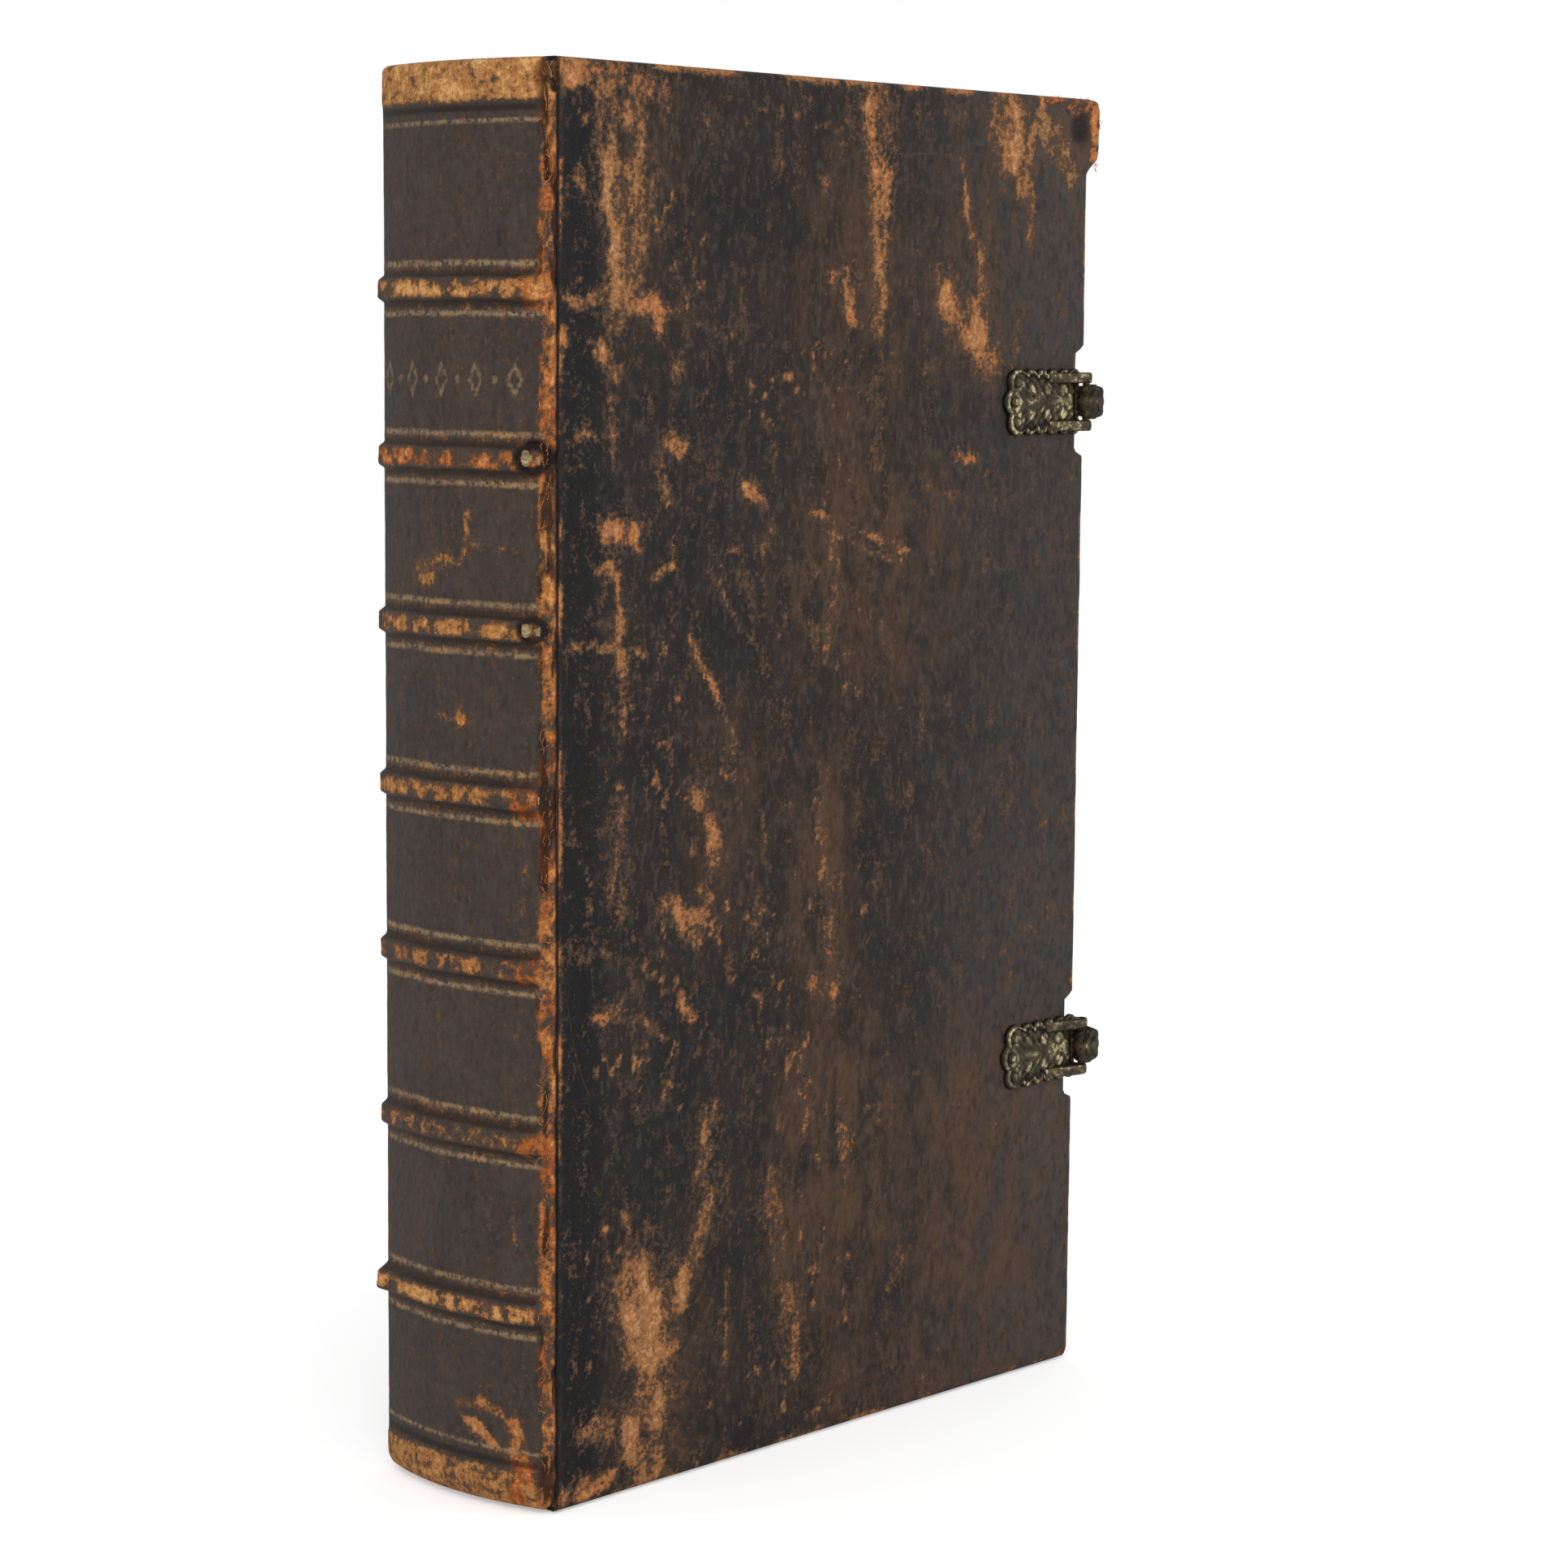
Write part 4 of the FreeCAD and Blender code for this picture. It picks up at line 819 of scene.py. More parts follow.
def buildCover(word, direction, strokes, warmSpots, torn, seed):
    face, first, last = book[word + "Face"], book["coverStartX"], book["coverEndX"]
    rows = spreadOut(0.0, book["height"], coverShape["meshStep"], 0.4, 2.0)
    shares = spreadOut(0.0, last - first, coverShape["meshStep"], 0.4, 2.0) / (last - first)
    count, cols = len(rows), len(shares)
    z = np.broadcast_to(rows[:, None], (count, cols)).copy()
    reach = np.zeros(count)
    if torn:
        ragged = 0.75 + 0.5 * layered(rows * 0, rows, 4.0, seed + 70)
        reach = coverShape["flapReach"] * ragged * smooth(rows, coverShape["flapFrom"], 344.0)
        reach = np.minimum(reach, coverShape["flapReach"])
    edge = foreEdge(rows) + reach
    startX = first + 0.5 * (layered(rows * 0 + 9.0, rows, 3.0, seed + 60) - 0.3) * smooth(rows, 0, 6)
    startX = np.maximum(startX, first)
    x = startX[:, None] + shares[None, :] * (edge - startX)[:, None]
    toTop, toTail, toFore = book["height"] - z, z, edge[:, None] - x
    near = np.minimum(np.minimum(toTop, toTail), toFore)
    roundness = coverShape["edgeRound"]
    inset = np.clip(roundness - near, 0, roundness)
    depth = roundness - np.sqrt(roundness ** 2 - inset ** 2)
    u, v = x.ravel(), z.ravel()
    worn, rusty = rubbing(u, v, strokes, seed)
    wear, rust = worn.reshape(x.shape), rusty.reshape(x.shape)
    patch = layered(x, z, 9.0, seed + 20)
    fromJoint = x - first
    edgeRub = (1.0 - smooth(near, 0.5, 3.4)) * smooth(patch, 0.34, 0.62)
    jointEdge = (1.0 - smooth(fromJoint, 0.4, 2.6)) * smooth(layered(x, z, 6.0, seed + 25, 2.0), 0.36, 0.7)
    rust = np.where(edgeRub * 0.8 > wear, 0.4, rust)
    wear = np.maximum(wear, 0.80 * edgeRub)
    rust = np.where(jointEdge > wear, 0.75, rust)
    wear = np.maximum(wear, jointEdge)
    # faint rubbing all over
    streak = layered(x, z, 2.6, seed + 30, 3.0)
    loose = smooth(layered(x, z, 4.2, seed + 33, 1.8), 0.56, 0.80)
    faint = 0.08 + 0.27 * smooth(streak, 0.45, 0.85) * (0.4 + 0.6 * patch) + 0.40 * loose * patch
    wear = np.maximum(wear, faint)
    # small chips, mostly on the half beside the spine
    chips = smooth(layered(x, z, 2.6, seed + 37, 1.3), 0.62, 0.76)
    chips = chips * smooth(layered(x, z, 24.0, seed + 38), 0.38, 0.62)
    chips = chips * (1.0 - 0.6 * smooth(x, -20.0, 60.0)) * smooth(fromJoint, 3.0, 8.0)
    rust = np.where(0.7 * chips > wear, 0.35, rust)
    wear = np.maximum(wear, 0.7 * chips)
    warm = np.zeros_like(x)
    for spotX, spotZ, wide, tall, strength in warmSpots:
        far = np.hypot((x - spotX) / wide, (z - spotZ) / tall)
        warm = np.maximum(warm, strength * (1 - smooth(far, 0.35, 1.2)))
    # painted shade beside the joint, strongest 2.5 to 9 mm from it
    joint_shade = (1.0 - smooth(fromJoint, 9.0, 20.0)) * smooth(fromJoint, 0.5, 2.5)
    faded = smooth(x, 5.0, 100.0) * (0.45 + 0.6 * layered(x, z, 40.0, seed + 36))
    # painted shade in the joint crease and along the bottom edge beside the floor
    crack_and_shade = np.maximum(1.0 - smooth(fromJoint, 0.1, 0.7), 0.35 * (1 - smooth(z, 0.6, 2.0)))
    relief = 0.30 * (layered(x, z, 34.0, seed + 40) - 0.5) + 0.16 * (layered(x, z, 3.4, seed + 50, 2.0) - 0.5)
    relief -= 0.22 * np.clip(wear - 0.4, 0, 1)
    if torn:
        # curled rim, a hollow with painted shadow under the lifted leather, and lifted fuzz where the corner
        # is torn
        cornerX, cornerZ = (x - coverShape["hollowX"]) / 5.2, (z - coverShape["hollowZ"]) / 5.4
        hollow = 1.0 - smooth(np.hypot(cornerX, cornerZ), 0.45, 1.1)
        lip = (1.0 - smooth(np.minimum(toFore, toTop), 0.6, 3.6)) * smooth(x, 84, 92) * smooth(z, 338, 343)
        fuzz = smooth(x + (z - 345) * 0.4, 86, 94) * smooth(z, 336, 342)
        wear = wear * (1 - 0.55 * lip * smooth(layered(x, z, 3.0, seed + 85), 0.45, 0.62))
        tufts = 0.9 * fuzz * (layered(x, z, 3.0, seed + 80) - 0.5)
        relief += 1.15 * lip * (0.4 + 0.9 * patch) - 0.95 * hollow + tufts
        # painted shadow in the hollow under the lifted corner
        crack_and_shade = np.maximum(crack_and_shade, 0.92 * hollow)
        warm = np.maximum(warm, 0.6 * fuzz)
    # never deeper than the leather, and nothing raised beside the joint, where the cover swings
    relief = np.maximum(relief * (smooth(near, 0.0, 1.2) + 0.3), -0.92)
    relief = np.where(fromJoint < 9.0, np.minimum(relief, 0.0), relief)
    y = face + direction * (depth - relief)
    flat = np.stack([x, y, z], -1).reshape(-1, 3)
    loop = borderLoop(count, cols)
    row, col = loop // cols, loop % cols
    rim = flat[loop]
    head, tail, fore = row == count - 1, row == 0, (col == cols - 1)
    joint = (col == 0) & ~head & ~tail
    overhang = np.maximum(rim[:, 0] - foreEdge(rows)[row], 0.0)
    turnWide = coverShape["turnX"] - first
    inX = first + (np.clip(rim[:, 0], first, last) - first) * (turnWide / (last - first))
    turnTall = coverShape["turnHigh"] - coverShape["turnLow"]
    inZ = coverShape["turnLow"] + rim[:, 2] * turnTall / book["height"]
    rings = []
    thick = book["coverThick"]
    # depth below the face, share of the overhang taken back, share of the way to the turn-in
    for deep, under, turned in ((2.1, 0.15, 0), (2.6, 1.0, 0), (4.4, 1.0, 0), (6.6, 1.0, 0),
                                (7.6, 1.0, 0.02), (thick, 1.0, 0.06), (thick - 0.04, 1.0, 0.5),
                                (thick - 0.06, 1.0, 1.0)):
        ring = rim.copy()
        ring[:, 0] = rim[:, 0] - overhang * under
        ring[:, 1] = face + direction * np.where(joint, min(deep, 1.25), deep)
        ring[:, 0] = np.where(joint, rim[:, 0] + 0.5 * turned, ring[:, 0] + (inX - ring[:, 0]) * turned)
        ring[:, 2] = np.where(joint, rim[:, 2], rim[:, 2] + (inZ - rim[:, 2]) * turned)
        bulge = 0.25 * (layered(rim[:, 0] + deep, rim[:, 2], 8.0, seed + 90) - 0.5) * (turned == 0)
        ring[:, 0] += np.where(fore, bulge, 0)
        rings.append(ring)
    everything, faces = addRings(flat, gridFaces(count, cols), loop, rings)
    more = len(everything) - len(flat)
    ringWear = 0.05 + 0.42 * layered(everything[-more:, 0], everything[-more:, 2], 9.0, seed + 95)
    values = {}
    for mask, grid, beyond in (("wear", wear, ringWear), ("rust", rust, 0.35), ("warm", warm, 0.3),
                               ("joint_shade", joint_shade, 0.0), ("faded", faded, 0.0), ("crack_and_shade", crack_and_shade, 0.0),
                               ("tooled", np.zeros_like(wear), 0.0)):
        values[mask] = np.concatenate([grid.ravel(), np.zeros(more) + beyond])
    piece = makePiece(word + "_skin", everything, faces, word + "_cover", coverLeather,
                      values, flip=direction < 0)
    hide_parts(word + "_cover_leather")


buildCover("front", 1, frontStrokes, frontWarmth, True, 200)
buildCover("back", -1, backStrokes, backWarmth, False, 400)
print("cover leather built")


# Leaves: sheets stacked between the boards, rounded back, hollow fore-edge, uneven edges
leafShape = {
    "low": 4.5, "high": 355.5, "foreX": 99.35, "hollow": 4.0,
    "flatHalf": 21.9, "shoulderHalf": 28.5, "shoulderX": -101.3,
    "sheetStep": 0.38, "uneven": 0.42,
}


def buildLeaves():
    s = leafShape
    centre, half = book["middleY"], s["flatHalf"]
    inner = np.arange(-half, half + 1e-6, s["sheetStep"])
    outer = np.linspace(half + 0.02, s["shoulderHalf"] - 0.02, 12)
    levels = np.concatenate([-outer[::-1], inner, outer])
    shift = np.random.default_rng(7).normal(0, 1, len(levels))
    loops = []
    tall = np.linspace(0, 1, 46)
    long = np.linspace(0, 1, 34)
    for index, off in enumerate(levels):
        main = abs(off) <= half + 0.01
        back = book["arcX"] - math.sqrt(book["blockRadius"] ** 2 - off ** 2)
        uneven = s["uneven"] * shift[index] * 0.5
        front = s["shoulderX"]
        if main:
            front = s["foreX"] - s["hollow"] * (1 - (off / half) ** 2) + uneven * 0.6
        low, high = s["low"] + abs(uneven) * 0.6, s["high"] - abs(uneven) * 0.6
        sway = 0.35 * (field(tall * 300, tall * 0 + off * 3, 40.0, 17) - 0.5) if main else tall * 0
        bottom = np.stack([back + (front - back) * long, low + long * 0], -1)
        side = np.stack([front + sway, low + (high - low) * tall], -1)
        top = bottom[::-1].copy()
        top[:, 1] = high
        rear = np.stack([back + tall * 0, high + (low - high) * tall], -1)
        loop = np.concatenate([bottom[:-1], side[:-1], top[:-1], rear[:-1]])
        loops.append(np.stack([loop[:, 0], loop[:, 0] * 0 + off + centre, loop[:, 1]], -1))
    faces = wrapFaces(len(loops), len(loops[0]), mirrored=True)
    piece = makePiece("leaves", np.concatenate(loops), faces, "leaves_and_spine", edgePaper,
                      flip=True, soften=False)
    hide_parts("text_block")


buildLeaves()
print("leaves built")


# Endbands: thread wound round a core, two colours in turn
endbandShape = {
    "radius": 1.25, "ring": 82.7, "reach": 25.0, "thread": 0.82,
    "levels": {"head": 356.8, "tail": 3.2},
}


def buildEndband(word, level):
    e = endbandShape
    steps = 6
    reach = math.asin(e["reach"] / e["ring"])
    count = int(2 * reach * e["ring"] / e["thread"]) * steps
    path, radii, turns = [], [], []
    for k in range(count + 1):
        a = -reach + 2 * reach * k / count
        path.append((book["arcX"] - e["ring"] * math.cos(a), book["middleY"] + e["ring"] * math.sin(a),
                     level))
        part = (k % steps) / steps
        radii.append(e["radius"] - 0.20 + 0.28 * abs(math.sin(math.pi * part)))
        turns.append(1.0 if (k // steps) % 4 < 2 else 0.0)
    sides = 12
    points, faces = tube(path, radii, sides)
    piece = makePiece(word + "_windings", points, faces, "leaves_and_spine",
                      endThread, {"turn": np.repeat(turns, sides)})
    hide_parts(word + "_endband")


for word, level in endbandShape["levels"].items():
    buildEndband(word, level)
print("endbands built")


# Cord ends and loose fibres that show where the joint leather is worn through
jointBits = {
    "strands": 5, "strandRadii": [0.25, 0.5, 0.62, 0.66, 0.64, 0.6, 0.5, 0.36, 0.15],
    "fibres": 260, "headFibres": 26, "fibreLong": 2.6, "fibreThick": 0.11,
    "limit": (-101.5, -28.95),                   # x and y that no fibre of the joint goes past
    "cornerFibres": 110, "cornerLong": 1.5, "cornerThick": 0.12,
}


def buildKnots():
    heap = Heap()
    random = np.random.default_rng(5)
    for level, half in spineShape["knots"]:
        for strand in range(jointBits["strands"]):
            spin = strand * 2 * math.pi / jointBits["strands"]
            path = []
            for t in np.linspace(0, 1, 9):
                turn = spin + 2.6 * t
                swell = half * 0.52 * (0.35 + 0.65 * math.sin(math.pi * min(t * 1.25, 1.0)))
                bow = 0.6 * (0.5 - t) - 0.5 * math.sin(math.pi * t)
                path.append((spineShape["knotX"] + bow + swell * 0.4 * math.cos(turn),
                             spineShape["knotY"] + half * 1.15 * (0.5 - t) + 0.15 * random.normal(),
                             level + swell * math.sin(turn)))
            heap.add(*tube(path, jointBits["strandRadii"], 7))
    heap.piece("cord_ends", "leaves_and_spine", "cord", cordFibre)


def buildFibres(name, body, slot, material, roots, directions, seed, long, thick, limit=None):
    heap = Heap()
    random = np.random.default_rng(seed)
    for root, direction in zip(roots, directions):
        length = long * (0.4 + random.random())
        wander = random.normal(0, 0.45, (4, 3))
        path = [np.array(root, float)]
        for k in range(3):
            path.append(path[-1] + length / 3 * (np.array(direction) + wander[k]))
            if limit is not None:
                x, y, z = path[-1]
                path[-1] = np.array([min(x, limit[0]), max(y, limit[1]), z])
        heap.add(*tube(path, [thick, thick * 0.9, thick * 0.7, thick * 0.3], 3))
    heap.piece(name, body, slot, material, {"wear": np.full(heap.count, 0.9),
                                            "rust": np.full(heap.count, 0.55)}, soften=False)


def looseFibres():
    random = np.random.default_rng(33)
    roots, ways = [], []
    for k in range(jointBits["fibres"]):
        z = random.random() * 352 + 4
        turn = 0.25 + 0.95 * random.random()
        roots.append((-102.1 - 3.0 * math.sin(turn), -26.2 - 2.75 * math.cos(turn), z))
        ways.append((-0.45 * math.sin(turn), -0.2 * math.cos(turn), random.choice([-1.0, 1.0]) * 0.7))
    for k in range(jointBits["headFibres"]):
        roots.append((-102.0 - 1.6 * random.random(), -28.0 + 1.2 * random.random(),
                      354.5 + 1.5 * random.random()))
        ways.append((-0.3 * random.random(), -0.2 * random.random(), 0.9))
    buildFibres("joint_fibres", "leaves_and_spine", "spine_leather", spineLeather, roots, ways,
                44, jointBits["fibreLong"], jointBits["fibreThick"], jointBits["limit"])
    roots, ways = [], []
    for k in range(jointBits["cornerFibres"]):
        along = random.random()
        if k % 2:
            roots.append((86 + 20 * along, -29.2, 358.6 + 0.8 * random.random()))
            ways.append((0.4 * random.normal(), -0.3, 0.35))
        else:
            roots.append((106.2 + 1.0 * random.random(), -29.0, 341 + 17 * along))
            ways.append((0.35, -0.3, 0.5 * random.normal()))
    buildFibres("corner_fibres", "front_cover", "cover_leather", coverLeather, roots, ways,
                45, jointBits["cornerLong"], jointBits["cornerThick"])


buildKnots()
looseFibres()
print("joint details built")


# Clasps: cast plates with beaded rim and leaf relief, lugs, hooked arms and domed rivets
claspShape = {
    "plateHalf": 8.6, "plateThick": 1.45,
    "lobes": [(-28.4, 0.0, 4.0), (-27.2, 5.6, 3.6), (-27.2, -5.6, 3.6)],
    "scallops": [-21.5, -16.5, -11.5, -6.5, -1.9],
    "lugInner": 5.15, "lugOuter": 8.15, "lugStart": -13.0,
    "barAt": (0.8, 2.9, 1.6), "pinAt": (7.4, 0.8, 1.9),
    "plateMiddle": -15.0, "beadStep": 1.9, "rosettes": (-21.0, -14.0, -7.0),
    "armHalf": 4.85, "knuckles": ((-4.8, -1.7), (-1.6, 1.6), (1.7, 4.8)),
    "rivetRadius": 1.55, "rivetHigh": 0.85,
    "rivets": [(-28.4, 0.0), (-27.4, 5.4), (-27.4, -5.4)],
}


def insidePlate(x, z):
    c = claspShape
    body = (x > -26.5) & (x < 0.0) & (np.abs(z) < c["plateHalf"] - 0.7)
    for spot in c["scallops"]:
        for side in (-1, 1):
            body |= (np.hypot(x - spot, z - side * (c["plateHalf"] - 2.0)) < 2.6) & (x < 0.6)
    for spotX, spotZ, radius in c["lobes"]:
        body |= np.hypot(x - spotX, z - spotZ) < radius
    return body


def castPlate(heap, heights, end, level, face, out):
    middle = claspShape["plateMiddle"]
    turns = np.linspace(0, 2 * math.pi, 181)[:-1]
    reach = np.arange(0.0, 24.0, 0.05)
    inside = insidePlate(middle + reach[None, :] * np.cos(turns)[:, None],
                         reach[None, :] * np.sin(turns)[:, None])
    limit = np.array([reach[np.nonzero(row)[0][-1]] for row in inside])
    rings = 26
    shares = np.sqrt(np.linspace(0.0, 1.0, rings + 1))[1:]
    radius = limit[:, None] * shares[None, :]
    x = middle + radius * np.cos(turns)[:, None]
    z = radius * np.sin(turns)[:, None]
    edge = limit[:, None] - radius
    steps = np.hypot(np.diff(limit * np.cos(turns)), np.diff(limit * np.sin(turns)))
    run = np.concatenate([[0], np.cumsum(steps)])
    beads = 0.5 + 0.5 * np.cos(2 * math.pi * run / claspShape["beadStep"])[:, None]
    height = 0.30 + 0.75 * (1 - smooth(np.abs(edge - 0.95), 0.25, 0.95)) * (0.35 + 0.65 * beads)
    height -= 0.25 * (1 - smooth(np.abs(edge - 2.3), 0.2, 0.7))
    leaf = np.exp(-(z / (1.1 + 0.09 * np.abs(x + 24))) ** 2) * smooth(edge, 1.8, 3.2)
    height += 0.55 * leaf
    ribs = 0.5 + 0.5 * np.cos(2 * math.pi * (x * 0.8 + np.abs(z) * 0.75) / 2.3)
    petals = ribs * smooth(edge, 1.8, 3.2) * smooth(np.abs(z), 0.8, 1.8) * (1 - smooth(np.abs(z), 5.6, 6.6))
    height += 0.42 * petals + 0.35 * (layered(x + 50, z + 50, 3.0, 61) - 0.5) * smooth(edge, 0.6, 1.6)
    for spotX in claspShape["rosettes"]:
        far = np.hypot(x - spotX, np.abs(z) - 3.6)
        height += 0.45 * (1 - smooth(far, 0.9, 1.9)) - 0.25 * (1 - smooth(np.abs(far - 2.2), 0.2, 0.6))
    for spotX, spotZ, size in claspShape["lobes"]:
        far = np.hypot(x - spotX, z - spotZ)
        height += 0.35 * (1 - smooth(np.abs(far - size * 0.62), 0.3, 0.9))
    height *= smooth(edge, 0.0, 0.35)
    top = claspShape["plateThick"] * 0.62 + 0.62 * height
    sides, count = len(turns), rings
    points = [(middle + end, face + out * claspShape["plateThick"], level)]
    shown = [0.5]
    for j in range(count):
        for i in range(sides):
            points.append((end + x[i, j], face + out * top[i, j], level + z[i, j]))
            shown.append(height[i, j])
    for lift in (0.45, -0.02):
        for i in range(sides):
            points.append((end + x[i, -1], face + out * lift, level + z[i, -1]))
            shown.append(0.12)
    points.append((middle + end, face - out * 0.02, level))
    shown.append(0.1)
    faces = []
    for i in range(sides):
        k = (i + 1) % sides
        faces.append([0, 1 + i, 1 + k])
        for j in range(count + 1):
            a, b = 1 + j * sides, 1 + (j + 1) * sides
            faces.append([a + i, b + i, b + k, a + k])
        last = 1 + (count + 1) * sides
        faces.append([last + i, len(points) - 1, last + k])
    if out > 0:
        faces = [f[::-1] for f in faces]
    heap.add(points, [f[::-1] for f in faces])
    heights += shown


# Solid from a side outline in x and y, spread over z with rounded cheeks
def cheeked(heap, heights, outline, low, high, bevel=0.35, rise=0.6):
    outline = np.asarray(outline, float)
    middle = outline.mean(0)
    ahead = np.roll(outline, -1, 0) - np.roll(outline, 1, 0)
    normal = np.stack([ahead[:, 1], -ahead[:, 0]], -1)
    normal /= np.linalg.norm(normal, axis=1)[:, None] + 1e-9
    if ((outline - middle) * normal).sum() < 0:
        normal = -normal
    slices = [(low, -bevel), (low + bevel, 0.0), ((low + high) / 2, 0.12), (high - bevel, 0.0),
              (high, -bevel)]
    size = len(outline)
    points = []
    for z, grow in slices:
        ring = outline + normal * grow
        points += [(p[0], p[1], z) for p in ring]
        heights += [rise + (0.3 if grow >= 0 else -0.2)] * size
    faces = wrapFaces(len(slices), size, mirrored=True)
    ahead = np.roll(outline, -1, 0)
    twiceArea = np.sum(outline[:, 0] * ahead[:, 1] - ahead[:, 0] * outline[:, 1])
    heap.add(points, faces if twiceArea > 0 else [f[::-1] for f in faces])


def lugOutline(end, face, out, at, start, under):
    offX, offY, radius = at
    points = []
    centreX, centreY = end + offX, face + out * offY
    rise = face + out * claspShape["plateThick"]
    for t in np.linspace(0, 1, 9):
        swell = t * t * (3 - 2 * t)
        points.append((end + start + (offX - start) * t, rise + (centreY + out * radius - rise) * swell))
    for a in np.linspace(90, -80, 12)[1:]:
        r = math.radians(a)
        points.append((centreX + radius * math.cos(r), centreY + out * radius * math.sin(r)))
    points.append((end + under, face + out * 0.3))
    points.append((end + start, face + out * 0.3))
    return points


def buildArm(name, node, body, end, level):
    c = claspShape
    heap, heights = Heap(), []
    front, back = book["frontFace"], book["backFace"]
    pinX, pinY, pinRadius = end + c["pinAt"][0], back + c["pinAt"][1], c["pinAt"][2]
    spots = [(pinX, pinY - 1.2), (pinX, 20.0), (pinX, 0.0), (pinX, -20.0), (pinX, front - 1.6)]
    for a in np.linspace(0, 90, 8)[1:]:
        r = math.radians(a)
        spots.append((pinX - 2.7 + 2.7 * math.cos(r), front - 1.9 - 2.75 * math.sin(r)))
    spots += [(end + 2.6, front - 4.68), (end + 0.6, front - 4.68)]
    for a in np.linspace(0, 80, 5)[1:]:
        r = math.radians(a)
        spots.append((end + 0.3 - 1.4 * math.sin(r), front - 3.5 - 1.18 * math.cos(r)))
    spots.append((end - 1.1, front - 2.1))
    spots = np.array(spots)
    run = np.concatenate([[0], np.cumsum(np.hypot(*np.diff(spots, axis=0).T))])
    steps = np.linspace(0, run[-1], 150)
    path = np.stack([np.interp(steps, run, spots[:, 0]), np.interp(steps, run, spots[:, 1])], -1)
    ahead = np.gradient(path, axis=0)
    ahead /= np.linalg.norm(ahead, axis=1)[:, None]
    outward = np.stack([-ahead[:, 1], ahead[:, 0]], -1)
    across = np.linspace(-1, 1, 19)
    points = []
    onHook = smooth(steps, run[4], run[6])
    for i in range(len(steps)):
        waist = 0.92 - 0.12 * math.sin(math.pi * steps[i] / run[4]) if steps[i] < run[4] else 0.92
        bend = float(smooth(steps[i], run[4] - 3.0, run[4] + 1.0) * (1 - smooth(steps[i], run[7], run[12])))
        waist = max(waist, float(smooth(steps[i], run[7], run[12]))) - 0.12 * bend
        left = run[-1] - steps[i]
        half = c["armHalf"] * waist * (1.0 if left > 2.5 else 0.80 + 0.08 * left)
        thick = 1.0 - 0.38 * onHook[i]
        rib = 0.5 + 0.5 * math.cos(2 * math.pi * steps[i] / 2.2)
        for side in across:
            bead = 1 - smooth(abs(abs(side) - 0.82), 0.06, 0.16)
            ridge = math.exp(-(side / 0.22) ** 2)
            scroll = 0.5 + 0.5 * math.cos(2 * math.pi * (steps[i] / 3.1 + abs(side) * 1.2))
            height = 0.55 * bead * (0.4 + 0.6 * rib) + 0.5 * ridge + 0.35 * scroll * (1 - bead)
            height = height * (1 - side ** 8)
            spot = path[i] + outward[i] * (thick * 0.82 + 0.30 * height - 0.35 * side ** 10)
            points.append((spot[0], spot[1], level + half * side))
            heights.append(0.15 + 0.75 * height)
        for side in across[::-1]:
            spot = path[i] - outward[i] * (thick * 0.85 - 0.25 * side ** 10)
            points.append((spot[0], spot[1], level + half * side))
            heights.append(0.25)
    heap.add(points, wrapFaces(len(steps), len(across) * 2))
    turned = np.linspace(0, 2 * math.pi, 29)[:-1]
    knuckle = [(pinX + pinRadius * math.cos(a), pinY + pinRadius * math.sin(a)) for a in turned]
    for low, high in c["knuckles"]:
        cheeked(heap, heights, knuckle, level + low, level + high)
    piece = heap.piece(name, body, "clasp_brass", brass, {"height": heights})
    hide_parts(node)


def buildPlate(name, node, body, end, level, face, out, hooked):
    c = claspShape
    heap, heights = Heap(), []
    castPlate(heap, heights, end, level, face, out)
    at = c["barAt"] if hooked else c["pinAt"]
    under = at[0] if hooked else at[0] - 2.0
    outline = lugOutline(end, face, out, at, c["lugStart"], under)
    for side in (-1, 1):
        low, high = sorted((side * c["lugInner"], side * c["lugOuter"]))
        cheeked(heap, heights, outline, level + low, level + high, 0.4, 0.45)
    piece = heap.piece(name, body, "clasp_brass", brass, {"height": heights})
    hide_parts(node)


def buildRivets(name, node, body, end, level, face, out):
    c = claspShape
    heap, heights = Heap(), []
    base = face + out * (c["plateThick"] - 0.15)
    for offX, offZ in c["rivets"]:
        points = [(end + offX, base + out * c["rivetHigh"], level + offZ)]
        faces, sides, levels = [], 20, 6
        for j in range(1, levels + 1):
            a = math.pi / 2 * j / levels
            for i in range(sides):
                t = 2 * math.pi * i / sides
                points.append((end + offX + c["rivetRadius"] * math.sin(a) * math.cos(t),
                               base + out * c["rivetHigh"] * math.cos(a),
                               level + offZ + c["rivetRadius"] * math.sin(a) * math.sin(t)))
        for i in range(sides):
            t = 2 * math.pi * i / sides
            points.append((end + offX + c["rivetRadius"] * math.cos(t), base - out * 1.2,
                           level + offZ + c["rivetRadius"] * math.sin(t)))
        for i in range(sides):
            k = (i + 1) % sides
            faces.append([0, 1 + i, 1 + k])
            for j in range(levels):
                a, b = 1 + j * sides, 1 + (j + 1) * sides
                faces.append([a + i, b + i, b + k, a + k])
        faces.append([1 + levels * sides + i for i in range(sides)])
        heap.add(points, faces if out > 0 else [f[::-1] for f in faces])
        heights += [0.95] * (1 + 2 * sides) + [0.5] * (len(points) - 1 - 2 * sides)
    piece = heap.piece(name, body, "pin_brass", brass, {"height": heights})
    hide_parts(node)


for word, level, end in zip(("upper", "lower"), book["claspsZ"], book["plateEnds"]):
    front = ("front_cover", end, level, book["frontFace"], -1)
    back = ("back_cover", end, level, book["backFace"], 1)
    buildPlate(word + "_catch", word + "_catch_plate", *front, True)
    buildPlate(word + "_anchor", word + "_anchor_plate", *back, False)
    buildArm(word + "_arm", word + "_clasp_arm", word + "_clasp", end, level)
    buildRivets(word + "_catch_studs", word + "_catch_rivets", *front)
    buildRivets(word + "_anchor_studs", word + "_anchor_rivets", *back)
print("clasps built")


